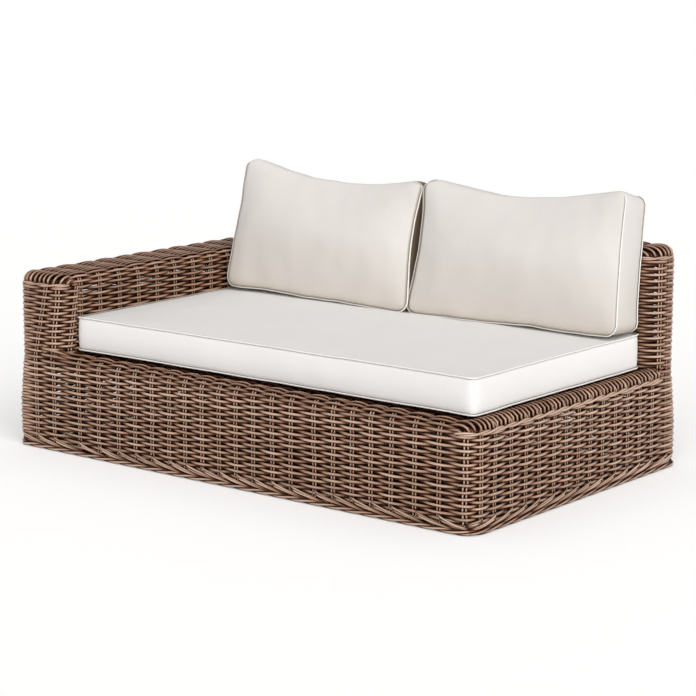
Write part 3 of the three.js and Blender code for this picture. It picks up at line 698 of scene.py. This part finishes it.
def stakes(material):
    """Pairs of stakes, which stand in the walls and bend over the rolled edges."""
    strands = Strands()

    def stand(feet, high):
        for foot in feet:
            stake(strands, outer_wall(foot, high), base_feet.index(foot))

    for foot in front_feet:
        over = deck.drape((foot[0], -0.6), (foot[0], BACK_FRONT - 0.004))
        stake(strands, join(outer_wall(foot, SEAT_ROLL), over), base_feet.index(foot))
    stand(front_corner_feet, SEAT_ROLL + 0.012)
    for foot in right_feet[:-1]:
        over = deck.drape((0.9, foot[1]), (WALL_X - 0.06, foot[1]))
        stake(strands, join(outer_wall(foot, SEAT_ROLL), over), base_feet.index(foot))
    strands.build("seat_stakes", material)
    strands = Strands()
    stand(rear_left_feet + rear_feet[-2:], ARM_ROLL + STAKE_OVERRUN)
    for i in range(4):
        start = DECK_TOP - 0.02 if i == 3 else STAKE_FOOT
        path = upright(lambda z: arm_front_at(z)[i], lambda z: upper_plan if z > SEAT_ROLL else base_plan_at(z),
                       start, ARM_ROLL + STAKE_OVERRUN)
        stake(strands, path, i - 1)
    stake(strands, upright(arm_inner_feet[-1], upper_plan, DECK_TOP - 0.01, ARM_ROLL), FIRST_BACK_FRONT - 1)
    for foot in left_feet:
        y = foot[1]
        parts = [outer_wall(foot, ARM_ROLL), arm.drape((-0.9, y), (-0.5, y))]
        if (ARM_INNER, y) in arm_inner_feet:
            parts.append(backwards(upright((ARM_INNER, y), upper_plan, DECK_TOP - 0.01, ARM_ROLL)))
        stake(strands, join(*parts), base_feet.index(foot), inside=1)
    strands.build("arm_stakes", material)
    strands = Strands()
    for i, (x, y) in enumerate(back_front_feet):
        front = upright((x, y), upper_plan, DECK_TOP - 0.012, BACK_ROLL)
        rear = backwards(outer_wall((x, WALL_Y), BACK_ROLL))
        stake(strands, join(front, back.drape((x, 0.2), (x, 0.6)), rear), i)
    for i, foot in enumerate(back_left_feet):
        stake(strands, upright(foot, back_plan, ARM_TOP - 0.036, BACK_ROLL + STAKE_OVERRUN), i + 1)
    for foot in back_corner_feet:
        stake(strands, upright(foot, upper_plan, DECK_TOP - 0.02, BACK_ROLL + STAKE_OVERRUN), len(back_front_feet))
    stand(right_feet[-1:] + rear_corner_feet, BACK_ROLL + STAKE_OVERRUN)
    strands.build("back_stakes", material)


def twist(strands, path, swing_by, proud):
    """Adds two strands laid round each other along a path."""
    total = lengths(path[0])[-1]
    places = np.linspace(0, total, math.ceil(total / (BINDING_PITCH / 10)))
    p, n = sample(path, places)
    up = unit(np.cross(n, np.gradient(p, axis=0)))
    for k in range(2):
        turn = 2 * math.pi * (places / BINDING_PITCH + k / 2)
        centre = p + n * (proud + swing_by * np.cos(turn))[:, None] + up * (swing_by * np.sin(turn))[:, None]
        strands.add(centre, n, BINDING_RADIUS, WEAVER_SIDES)


def edge_bindings(material):
    """Twisted strands that hold down the ends turned over each rolled edge."""
    strands = Strands()
    twist(strands, level(cut(base_plan, (0.748, -0.484), (WALL_X, 0.40)), SEAT_BINDING), 0.0030, -0.0035)
    for plan, start, end, z in (
        (upper_plan, (-0.803, -0.425), (-0.628, -0.435), ARM_BINDING),
        (base_plan, (ARM_INNER, WALL_Y), (-0.803, 0.425), ARM_BINDING),
        (back_plan, (0.735, BACK_FRONT), (0.735, WALL_Y), BACK_BINDING),
        (back_plan, (-0.555, WALL_Y), (-0.555, BACK_FRONT), BACK_BINDING),
    ):
        twist(strands, level(cut(plan, start, end), z), 0.0024, -0.0062)
    strands.build("edge_bindings", material)


def border_rope(strands, a, b):
    """The three strands that lie twisted along the foot of the border."""
    total = lengths(foot_plan[0])[-1]
    pitch = total / ROPE_TURNS
    places = np.linspace(a, b, math.ceil((b - a) / (pitch / 20)))
    p, n = sample(foot_plan, places % total)
    for k in range(3):
        turn = 2 * math.pi * (places / pitch + k / 3)
        centre = np.c_[p + n * (0.0038 * np.cos(turn) - 0.0014)[:, None], BORDER_FOOT + 0.0040 * np.sin(turn)]
        # Painted shade: each strand is darker where it turns to the back
        depth = np.clip(0.20 + 0.8 * np.cos(turn), 0.03, 1)
        strands.add(centre, np.c_[n, np.zeros(len(n))], ROPE_RADIUS, BRAID_SIDES, depth=depth)


def braid(side, material, start, end, rises, mitred_last):
    """The border at the foot of one side: each pair of stakes bends over, slopes across the pairs beyond, and ends
    at the floor behind them. Two sides that slope opposite ways are mitred where they meet, which is at one end of
    each: the last going round, or the first."""
    strands = Strands()
    total = lengths(foot_plan[0])[-1]
    a, b = stretch(foot_plan[0], start, end)
    ahead = -1 if rises else 1
    feet = sorted(places_on(foot_plan, base_feet))
    feet = [x + lap for lap in (0, total) for x in feet if a <= x + lap < b]
    if mitred_last and rises:
        feet += list(np.arange(feet[-1] + BORDER_GAP, b + BORDER_RUN, BORDER_GAP))
    if not mitred_last and not rises:
        feet += list(np.arange(feet[0] - BORDER_GAP, a - BORDER_RUN, -BORDER_GAP))
    for foot in feet:
        for above in (0, 1):
            begin = foot - ahead * (0.008 * above - 0.002)
            reach = BORDER_RUN * chance.uniform(0.95, 1.05)
            share = np.linspace(0, 1, BRAID_POINTS)
            along = begin + ahead * reach * share
            spare = b + MITRE_REACH - along if mitred_last else along - a + MITRE_REACH
            keep = spare >= 0
            if keep.sum() < 5:
                continue
            share, along, spare = share[keep], along[keep], spare[keep]
            high = BORDER_TOP - 0.008 + 0.0100 * above
            low = BORDER_FOOT + 0.0015 * above
            height = low + (high - low) * (1 - share) ** 1.35
            height += ripple(along, 0.0006, 60)
            start_bend = np.clip(1 - share / 0.15, 0, 1) ** 1.6
            out = 0.0014 - 0.014 * start_bend - 0.0090 * np.clip((share - 0.34) / 0.66, 0, 1)
            out += ripple(along, 0.0006, 42)
            out -= MITRE_TUCK * np.clip(1 - spare / (2 * MITRE_REACH), 0, 1)
            xy, n = sample(foot_plan, along % total)
            centre = np.c_[xy + n * out[:, None], height]
            # Painted shade: the strands are darker where they lie back from the face
            depth = np.clip((out + 0.0045) / 0.0055, 0.02, 1)
            radius = BRAID_RADIUS * chance.uniform(0.95, 1.04)
            strands.add(centre, np.c_[n, np.zeros(len(n))], radius, BRAID_SIDES, depth=depth)
    border_rope(strands, a, b)
    piece = strands.build(f"{side}_border_braid", material, slot="border_wicker")
    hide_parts(f"{side}_border")


def borders(material):
    corner = (1 - math.sqrt(0.5)) * BORDER_CORNER
    turn = (1 - math.sqrt(0.5)) * FRONT_CORNER
    front_left = (corner - WALL_X, corner - WALL_Y)
    front_right = (WALL_X - turn, turn - WALL_Y)
    rear_right = (WALL_X - corner, WALL_Y - corner)
    rear_left = (corner - WALL_X, WALL_Y - corner)
    braid("front", material, front_left, front_right, rises=False, mitred_last=True)
    braid("right", material, front_right, rear_right, rises=True, mitred_last=False)
    braid("rear", material, rear_right, rear_left, rises=True, mitred_last=True)
    braid("left", material, rear_left, front_left, rises=False, mitred_last=False)


def face_grid(width, depth, corner, draws, step):
    """Points of a rectangle with rounded corners and drawn-in sides, as a grid, and how far out each lies, from -1
    to 1 each way. Draws are of the left side, right side, head and foot."""
    nx, ny = round(width / step), round(depth / step)
    a, b = np.meshgrid(np.linspace(-1, 1, nx + 1), np.linspace(-1, 1, ny + 1), indexing="ij")
    hx, hy = width / 2, depth / 2
    x, y = a * hx, b * hy
    cx, cy = hx - corner, hy - corner
    u, v = np.clip((np.abs(x) - cx) / corner, 0, 1), np.clip((np.abs(y) - cy) / corner, 0, 1)
    both = (u > 0) & (v > 0)
    x = np.where(both, np.sign(x) * (cx + corner * u * np.sqrt(1 - v * v / 2)), x)
    y = np.where(both, np.sign(y) * (cy + corner * v * np.sqrt(1 - u * u / 2)), y)
    left, right, head, foot = draws
    bow_x = np.clip(1 - (y / cy) ** 2, 0, 1) ** 1.15 * np.where(a > 0, right, left)
    bow_y = np.clip(1 - (x / cx) ** 2, 0, 1) ** 1.15 * np.where(b > 0, head, foot)
    return x - a * np.abs(a) * bow_x, y - b * np.abs(b) * bow_y, a, b


def uneven(points, size, fine):
    """How far the soft cover wanders from its cut shape at each point."""
    far = [noise.noise_vector(Vector(p) * 5.5) * size
           + noise.noise_vector(Vector(p) * 17 + Vector((9, 4, 2))) * fine for p in points]
    return np.array([tuple(v) for v in far])


def cushion_mesh(name, width, depth, boxing, corner, draws, crown, step, rows=COVER_ROWS):
    """A boxed cushion lying flat at the origin: two faces and a strip between them. Returns the object, its seam
    loops, and the region of each vertex: 1 upper face, -1 lower face, 0 strip, 9 seam."""
    x, y, a, b = face_grid(width, depth, corner, draws, step)
    edge = (np.abs(a) == 1) | (np.abs(b) == 1)
    full = np.where(edge, 0, (1 - np.abs(a) ** 3) * (1 - np.abs(b) ** 3))
    n = x.size
    ids = np.arange(n).reshape(x.shape)
    loop = np.r_[ids[:-1, 0], ids[-1, :-1], ids[:0:-1, -1], ids[0, :0:-1]]
    upper = np.stack([x, y, boxing / 2 + crown[0] * full], -1).reshape(-1, 3)
    lower = np.stack([x, y, -boxing / 2 - crown[1] * full], -1).reshape(-1, 3)
    m = len(loop)
    rim = upper[loop]
    outward = unit(np.c_[
        np.roll(rim[:, 1], -1) - np.roll(rim[:, 1], 1), np.roll(rim[:, 0], 1) - np.roll(rim[:, 0], -1)])
    strip = [np.c_[rim[:, :2] + outward * (STRIP_BULGE * (1 - t * t)), np.full(m, t * boxing / 2)]
             for t in 1 - 2 * np.arange(1, rows) / rows]
    points = np.concatenate([upper, lower] + strip)
    quads = np.stack([ids[:-1, :-1], ids[1:, :-1], ids[1:, 1:], ids[:-1, 1:]], -1).reshape(-1, 4)
    faces = [quads, quads[:, ::-1] + n]
    bands = [loop] + [2 * n + k * m + np.arange(m) for k in range(rows - 1)] + [loop + n]
    for top, bottom in zip(bands, bands[1:]):
        faces.append(np.stack([top, bottom, np.roll(bottom, -1), np.roll(top, -1)], -1))
    region = np.r_[np.full(n, 1), np.full(n, -1), np.zeros(m * (rows - 1), int)]
    region[loop] = 9
    region[loop + n] = 9
    s = lengths(np.concatenate([rim, rim[:1]]))[:-1]
    thread = points.copy()
    for first in range(2 * n, len(points), m):
        thread[first:first + m] = np.c_[s, points[first:first + m, 2], np.full(m, 0.3)]
    mesh = bpy.data.meshes.new(name)
    mesh.from_pydata(points.tolist(), [], np.concatenate(faces).tolist())
    mesh.polygons.foreach_set("use_smooth", np.ones(len(mesh.polygons), bool))
    set_attribute(mesh, "weft", thread)
    return in_scene(name, mesh), (loop, loop + n), region


def vertices_of(piece):
    co = np.zeros(len(piece.data.vertices) * 3)
    piece.data.vertices.foreach_get("co", co)
    return co.reshape(-1, 3)


def inflate(piece, seams):
    """Points of the cushion after its cover has been filled under pressure, held at the seams."""
    group = piece.vertex_groups.new(name="seams")
    group.add([int(i) for loop in seams for i in loop], 1.0, "REPLACE")
    cloth = piece.modifiers.new("fill", "CLOTH")
    for key, value in CLOTH.items():
        setattr(cloth.settings, key, value)
    cloth.settings.effector_weights.gravity = 0
    cloth.settings.vertex_group_mass = "seams"
    cloth.point_cache.frame_start = 1
    cloth.point_cache.frame_end = CLOTH_FRAMES
    scene = bpy.context.scene
    for i in range(1, CLOTH_FRAMES + 1):
        scene.frame_set(i)
    filled = vertices_of(piece.evaluated_get(bpy.context.evaluated_depsgraph_get()))
    piece.modifiers.remove(cloth)
    scene.frame_set(1)
    return filled


def swell(piece, seams, region, upper, lower, side):
    """Fills the cushion, with each region's swelling scaled to the depth given for it."""
    start = vertices_of(piece)
    move = inflate(piece, seams) - start
    result = start.copy()
    for number, depth in ((1, upper), (-1, lower), (0, side)):
        here = region == number
        size = np.linalg.norm(move[here], axis=1)
        most = np.quantile(size, 0.995)
        result[here] = start[here] + move[here] * (depth / max(most, 1e-6))
    return result


def piping(points, seams, hidden):
    """The cords sewn along the seams of a cushion. How deep the first is hidden is given along it."""
    cords = Strands()
    middle = points.mean(0)
    for number, loop in enumerate(seams):
        rim = points[loop]
        along = unit(np.roll(rim, -1, 0) - np.roll(rim, 1, 0))
        through = unit(rim - points[seams[1 - number]])
        away = unit(np.cross(along, through))
        if np.sum(away * (rim - middle)) < 0:
            away = -away
        outward = unit(away + 0.35 * through)
        tuck = hidden if number == 0 else 0.0
        centre = rim - outward * np.reshape(tuck, (-1, 1)) + outward * PIPING_PROUD
        cords.add(centre, outward, PIPING_RADIUS, BRAID_SIDES, closed=True, tone=0.5, woven=False)
    return cords


def pulled(points, size, pulls):
    """Points of a cushion lying flat, its four corners pulled along it: foot left, foot right, head left, head
    right."""
    u = (points[:, 0] / size["width"] + 0.5)[:, None]
    v = (points[:, 1] / size["depth"] + 0.5)[:, None]
    foot_left, foot_right, head_left, head_right = (np.array((*p, 0)) for p in pulls)
    foot = foot_left * (1 - u) + foot_right * u
    head = head_left * (1 - u) + head_right * u
    return points + foot * (1 - v) + head * v


def leant(points, size, lean, settle):
    """Points of a cushion stood up and leant back, the lowest part of it settled level on the seat."""
    points = points.copy()
    if settle:
        rise = (points[:, 1] + size["depth"] / 2) / (size["depth"] * settle)
        points[:, 1] -= (points[:, 2] + size["boxing"] / 2) * math.tan(lean) * np.clip(1 - rise, 0, 1)
    if lean:
        points = points @ np.array(Matrix.Rotation(math.pi / 2 - lean, 3, "X")).T
    return points


def below_head(flat, seam, size):
    """How far each point of a cushion lying flat is from the line of its head."""
    rim = flat[seam]
    inside = np.abs(rim[:, 0]) < size["width"] / 2 - 0.6 * size["corner"]
    top = rim[(rim[:, 1] > 0.3 * size["depth"]) & inside]
    top = top[np.argsort(top[:, 0])]
    return np.interp(flat[:, 0], top[:, 0], top[:, 1]) - flat[:, 1]


def painted_shade_of(flat, region, size, inner):
    """Painted shade on each point of a back cushion: towards its foot, and between the two, where
    they shade each other.
    """
    v = flat[:, 1] / size["depth"] + 0.5
    foot = 0.10 * np.clip(1 - v / 0.5, 0, 1) + 0.16 * np.exp(-(np.clip(v, 0, 1) / 0.035) ** 2)
    across = np.abs(flat[:, 0] * inner - size["width"] / 2)
    between = (region != 1) * np.clip(1.7 - across / 0.022, 0, 1) * 0.8
    return np.clip(np.maximum(foot, between), 0, 0.8)


def build_cushion(name, node, material, cord_material, size, swells, step, lean=0.0, settle=0.0, sink=0.0,
                  nod=0.0, head_roll=0.0, inner=0, wander=(0.002, 0.0006), pulls=((0, 0),) * 4):
    """One cushion with its piping, shaped lying flat, then leant back and set where its CAD solid lies."""
    piece, seams, region = cushion_mesh(name, step=step, **size)
    flat = swell(piece, seams, region, *swells)
    low, high = (np.array(c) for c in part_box(node))
    straight = leant(flat, size, lean, settle)
    mine_low, mine_high = straight.min(0), straight.max(0)
    shift = (low + high) / 2 - (mine_low + mine_high) / 2
    shift[2] = low[2] - mine_low[2] - sink
    if lean:
        shift[1] = high[1] - mine_high[1]
    soft = flat + uneven(flat + np.array((len(name), low[0], 0)), *wander)
    head = np.clip(soft[:, 1] / size["depth"] - 0.25, 0, 1) * 4
    soft[:, 1] -= nod * head * np.clip(0.5 - soft[:, 2] / size["boxing"], 0, 1)
    head_line = below_head(flat, seams[0], size)
    rolled = np.exp(-(head_line / HEAD_ROLL_WIDTH) ** 2)
    soft[:, 2] -= head_roll * rolled * np.clip(flat[:, 2] / size["boxing"] * 4, 0, 1)
    points = leant(pulled(soft, size, pulls), size, lean, settle) + shift
    piece.data.vertices.foreach_set("co", points.ravel())
    piece.data.update()
    # Painted shade on the back cushions, towards the foot and between them
    painted_shade = painted_shade_of(flat, region, size, inner) if inner else np.zeros(len(points))
    set_attribute(piece.data, "painted_shade", painted_shade)
    piece.data.materials.append(material)
    smooth = piece.modifiers.new("smooth", "SUBSURF")
    smooth.levels = smooth.render_levels = 1
    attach(piece, node)
    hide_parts(node)
    hidden = PIPING_TUCK * np.exp(-(head_line[seams[0]] / PIPING_TUCK_WIDTH) ** 2) if head_roll else 0.0
    piping(points, seams, hidden).build(name + "_piping", cord_material, body=node, slot="cushion_canvas")


class Nodes:
    """The nodes of a material, or of the world, made one by one."""

    def __init__(self, owner, shader="BsdfPrincipled", output="OutputMaterial"):
        owner.use_nodes = True
        self.owner, self.tree = owner, owner.node_tree
        self.tree.nodes.clear()
        self.shader = self.new(shader)
        self.feed(self.new(output).inputs[0], self.shader.outputs[0])

    def new(self, kind, **settings):
        """A node with its settings, and with what goes into its inputs."""
        node = self.tree.nodes.new("ShaderNode" + kind)
        for key, value in settings.items():
            if hasattr(node, key):
                setattr(node, key, value)
            else:
                self.feed(node.inputs[key.replace("_", " ")], value)
        return node

    def feed(self, socket, value):
        """Links another socket to an input, or sets the input to a value."""
        if isinstance(value, bpy.types.NodeSocket):
            self.tree.links.new(value, socket)
        else:
            socket.default_value = (*value, 1) if socket.type == "RGBA" else value

    def finished(self, **inputs):
        """The material or world, with what goes into its shader's inputs."""
        for key, value in inputs.items():
            self.feed(self.shader.inputs[key.replace("_", " ")], value)
        return self.owner

    def attribute(self, name, output="Vector"):
        return self.new("Attribute", attribute_name=name).outputs[output]

    def place(self):
        return self.new("TexCoord").outputs["Object"]

    def noise(self, vector, scale, detail=2.0, roughness=0.5, offset=(0, 0, 0)):
        """Noise, stretched where scale has three numbers."""
        if isinstance(scale, tuple):
            vector = self.new("Mapping", Vector=vector, Scale=scale, Location=offset).outputs[0]
            scale = 1.0
        return self.new("TexNoise", Vector=vector, Scale=scale, Detail=detail, Roughness=roughness).outputs["Fac"]

    def ramp(self, factor, stops):
        node = self.new("ValToRGB")
        elements = node.color_ramp.elements
        while len(elements) < len(stops):
            elements.new(0.5)
        for element, (place, colour) in zip(elements, stops):
            element.position = place
            element.color = (*colour, 1)
        self.feed(node.inputs[0], factor)
        return node.outputs[0]

    def mix(self, factor, a, b, blend="MIX"):
        node = self.new("Mix", data_type="RGBA", blend_type=blend)
        for i, value in ((0, factor), (6, a), (7, b)):
            self.feed(node.inputs[i], value)
        return node.outputs[2]

    def multiply(self, a, b):
        return self.mix(1.0, a, b, "MULTIPLY")

    def math(self, operation, a, b=0.0):
        node = self.new("Math", operation=operation)
        self.feed(node.inputs[0], a)
        self.feed(node.inputs[1], b)
        return node.outputs[0]

    def weighted(self, a, weight, b, other_weight):
        return self.math("ADD", self.math("MULTIPLY", a, weight), self.math("MULTIPLY", b, other_weight))

    def spread(self, factor, low, high):
        return self.new("MapRange", Value=factor, To_Min=low, To_Max=high).outputs[0]

    def bump(self, height, strength, distance):
        return self.new("Bump", Height=height, Strength=strength, Distance=distance).outputs[0]

    def looked_at(self):
        """1 for what the camera sees, also in a mirror or through glass, and 0 for light that falls on things."""
        rays = self.new("LightPath").outputs
        passed_on = self.math("MAXIMUM", rays["Is Glossy Ray"], rays["Is Transmission Ray"])
        return self.math("MAXIMUM", rays["Is Camera Ray"], passed_on)


def material_nodes(name):
    return Nodes(bpy.data.materials.new(name))


def wicker_material(name, dark, middle, light):
    """Round synthetic cane: a matt sheen, colour that changes from strand to strand, fine streaks along it, and
    painted shade in its hollows and on the sides turned from the light, which also dims its reflection.
    """
    m = material_nodes(name)
    grain = m.attribute("grain")
    light_reached = m.attribute("open", "Fac")
    drift = m.noise(grain, (5, 0, 0))
    tone = m.weighted(m.attribute("tone", "Fac"), 0.50, drift, 0.60)
    base = m.ramp(tone, [(0.12, dark), (0.5, middle), (0.92, light)])
    streak = m.noise(grain, (14, 900, 900), 3.0, 0.6)
    base = m.mix(m.spread(streak, -0.1, 0.75), base, m.multiply(base, (0.72, 0.66, 0.62)))
    hue = m.noise(grain, (7, 0, 0), 1.0, offset=(31, 0, 0))
    base = m.multiply(base, m.ramp(hue, [(0.35, (1.0, 0.92, 0.90)), (0.65, (0.93, 0.95, 0.86))]))
    # Painted shade: colour darkened by each point's painted light, deep brown in the hollows
    painted_hollow_shade = m.ramp(light_reached, [
        (0.05, (0.022, 0.006, 0.002)), (0.24, (0.20, 0.105, 0.060)), (0.42, (0.66, 0.55, 0.48)), (0.62, (1, 1, 1)),
    ])
    # The painted light also sets the reflection's strength, dimming it in painted shade
    return m.finished(Base_Color=m.multiply(base, painted_hollow_shade), Roughness=m.spread(streak, 0.26, 0.44),
                      Normal=m.bump(streak, 0.35, 0.0006), Specular_IOR_Level=light_reached)


def canvas_material(name, colour, shade):
    """Woven outdoor canvas: plain weave of slightly uneven threads, with soft sheen, and painted shade where a
    cushion carries it.
    """
    m = material_nodes(name)
    weft = m.attribute("weft")
    across, along = (
        m.new("TexWave", wave_type="BANDS", bands_direction=axis, Vector=weft, Scale=420, Distortion=1.6,
              Detail_Scale=2.0).outputs["Fac"] for axis in "XY")
    threads = m.math("MAXIMUM", across, along)
    slubs = m.weighted(m.noise(weft, (14, 520, 14)), 0.30, m.noise(weft, (520, 14, 14)), 0.30)
    variation = m.math("ADD", slubs, m.math("MULTIPLY", m.noise(weft, 6.0, 3.0), 0.40))
    base = m.mix(m.spread(variation, 0.0, 0.9), shade, colour)
    base = m.mix(m.spread(threads, 0.08, 0.0), base, shade)
    # Painted shade, warmer as it deepens, from the cushion's painted shade attribute
    painted_shade = m.ramp(m.attribute("painted_shade", "Fac"), [
        (0.0, (1, 1, 1)), (0.12, (0.866, 0.828, 0.784)), (0.8, (0.20, 0.150, 0.100))])
    return m.finished(
        Base_Color=m.multiply(base, painted_shade), Roughness=m.spread(variation, 0.82, 0.95),
        Normal=m.bump(m.weighted(threads, 0.5, variation, 0.8), 0.25, 0.0004),
        Specular_IOR_Level=0.25, Sheen_Weight=0.10, Sheen_Roughness=0.5)


def cord_material(name, colour, seam_shade):
    """Canvas sewn round a cord, with painted shade where it goes down into the seam."""
    m = material_nodes(name)
    fibre = m.noise(m.attribute("grain"), (300, 900, 900))
    # Painted shade on the side of the cord that turns down into the seam
    hidden = m.ramp(m.attribute("open", "Fac"), [(0.14, seam_shade), (0.50, (1, 1, 1))])
    base = m.mix(m.spread(fibre, -0.2, 0.5), colour, (0.66, 0.64, 0.61))
    return m.finished(Base_Color=m.multiply(base, hidden), Roughness=m.spread(fibre, 0.8, 0.95),
                      Normal=m.bump(fibre, 0.3, 0.0004), Specular_IOR_Level=0.25)


def painted_metal(name, colour, worn):
    """Powder coat with its fine orange peel, a little rubbed."""
    m = material_nodes(name)
    place = m.place()
    rubbed = m.noise(place, 22.0, 4.0)
    return m.finished(Base_Color=m.mix(m.spread(rubbed, -0.3, 0.6), colour, worn),
                      Roughness=m.spread(rubbed, 0.38, 0.58), Normal=m.bump(m.noise(place, 900.0), 0.2, 0.0004))


def moulded_nylon(name, colour, scuffed):
    """Moulded nylon, scuffed where it stands."""
    m = material_nodes(name)
    scuff = m.noise(m.place(), 120.0, 5.0, 0.65)
    return m.finished(Base_Color=m.mix(m.spread(scuff, -0.6, 1.1), colour, scuffed),
                      Roughness=m.spread(scuff, 0.42, 0.7), Normal=m.bump(scuff, 0.25, 0.0005))


def aim(thing, direction):
    thing.rotation_mode = "QUATERNION"
    thing.rotation_quaternion = direction.to_track_quat("-Z", "Y")


def stage():
    """Pale floor that looks nearly white, soft light from the right and above, and a white surround. The floor's
    colour is painted near black under the sofa, a painted shadow."""
    bpy.ops.mesh.primitive_plane_add(size=FLOOR_SIZE)
    floor = bpy.context.object
    floor.name = "floor"
    paint = material_nodes("floor_with_painted_shadow")
    place = paint.place()
    axes = paint.new("SeparateXYZ", Vector=place).outputs
    beyond = [paint.math("SUBTRACT", paint.math("ABSOLUTE", axes[i]), half - 0.02)
              for i, half in enumerate((WALL_X, WALL_Y))]
    outside = paint.math("GREATER_THAN", paint.math("MAXIMUM", *beyond), 0.0)
    pale = paint.mix(paint.noise(place, 0.8), (0.86, 0.86, 0.86), (0.88, 0.88, 0.88))
    glow = paint.math("MULTIPLY", paint.math("MULTIPLY", paint.looked_at(), outside), FLOOR_GLOW)
    # Painted shadow: the floor's colour is near black within the sofa's footprint
    floor.data.materials.append(paint.finished(
        Base_Color=paint.mix(outside, (0.05, 0.034, 0.026), pale), Roughness=0.9, Specular_IOR_Level=0.1,
        Emission_Color=(1, 1, 1), Emission_Strength=glow))
    sky = Nodes(bpy.data.worlds.new("surround"), "MixShader", "OutputWorld")
    lit = sky.new("Background", Color=(1.0, 0.995, 0.99), Strength=SKY_LEVEL)
    seen = sky.new("Background", Color=(1, 1, 1), Strength=1.0)
    for i, value in enumerate((sky.looked_at(), lit.outputs[0], seen.outputs[0])):
        sky.feed(sky.shader.inputs[i], value)
    bpy.context.scene.world = sky.owner
    light = bpy.data.lights.new("key", "SUN")
    light.energy = KEY_LEVEL
    light.angle = math.radians(KEY_SPREAD)
    light.color = (1.0, 0.99, 0.98)
    aim(in_scene("key", light), -Vector(KEY_FROM))


def camera():
    """The photograph's viewpoint."""
    data = bpy.data.cameras.new("camera")
    data.sensor_width = 36
    data.lens = LENS
    data.clip_end = 400
    eye = in_scene("camera", data)
    eye.location = EYE
    azimuth, elevation = math.radians(AZIMUTH), math.radians(ELEVATION)
    aim(eye, Vector((
        -math.sin(azimuth) * math.cos(elevation),
        math.cos(azimuth) * math.cos(elevation),
        -math.sin(elevation),
    )))
    bpy.context.scene.camera = eye
    bpy.context.scene.view_settings.view_transform = "Standard"


stage()
camera()

cane = wicker_material("cane", (0.29, 0.183, 0.132), (0.48, 0.338, 0.264), (0.73, 0.57, 0.48))
border_cane = wicker_material("border_cane", (0.27, 0.172, 0.126), (0.45, 0.318, 0.250), (0.68, 0.53, 0.45))
stake_cane = wicker_material("stake_cane", (0.48, 0.345, 0.265), (0.66, 0.51, 0.42), (0.84, 0.69, 0.60))
canvas = canvas_material("canvas", (0.820, 0.803, 0.793), (0.73, 0.71, 0.695))
# Painted shade: the same canvas as the seat's, made darker and warmer on the back cushions
back_canvas_with_painted_shade = canvas_material("back_canvas_with_painted_shade", (0.695, 0.670, 0.645), (0.605, 0.578, 0.548))
# The cord's last colour is its painted shade down in the seam
cord = cord_material("cord_canvas", (0.80, 0.785, 0.765), (0.38, 0.34, 0.30))

lower_weave(cane)
upper_weave(cane)
seat_weave(cane)
arm_top_weave(cane)
back_top_weave(cane)
stakes(stake_cane)
edge_bindings(cane)
borders(border_cane)

low, high = SEAT_CUSHION
build_cushion(
    "seat_pad", "seat_cushion", canvas, cord,
    dict(width=high[0] - low[0] + SEAT_GROWTH, depth=high[1] - low[1] - SEAT_SWELL, boxing=0.092,
         corner=0.014, draws=(0.000, 0.003, 0.005, 0.005), crown=(0.003, 0.004)),
    (0.003, 0.0, 0.002), step=0.014)

for side, shape in BACK_PADS.items():
    low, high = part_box(f"{side}_back_cushion")
    build_cushion(
        f"{side}_back_pad", f"{side}_back_cushion", back_canvas_with_painted_shade, cord,
        dict(width=high[0] - low[0], depth=BACK_PAD_DEPTH, boxing=0.104, corner=0.028, draws=shape["draws"],
             crown=(0.014, 0.003)),
        (0.022, 0.004, 0.003), step=0.011, lean=shape["lean"], settle=0.4, sink=0.004,
        nod=0.012, head_roll=0.010, inner=shape["inner"], wander=(0.0035, 0.0018), pulls=shape["pulls"])

coat = painted_metal("coat", (0.035, 0.024, 0.018), (0.08, 0.06, 0.05))
nylon = moulded_nylon("glide_nylon", (0.012, 0.012, 0.012), (0.05, 0.048, 0.046))
for node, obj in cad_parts.items():
    if not obj.hide_render:
        obj.data.materials.clear()
        obj.data.materials.append(nylon if "glide" in node else coat)
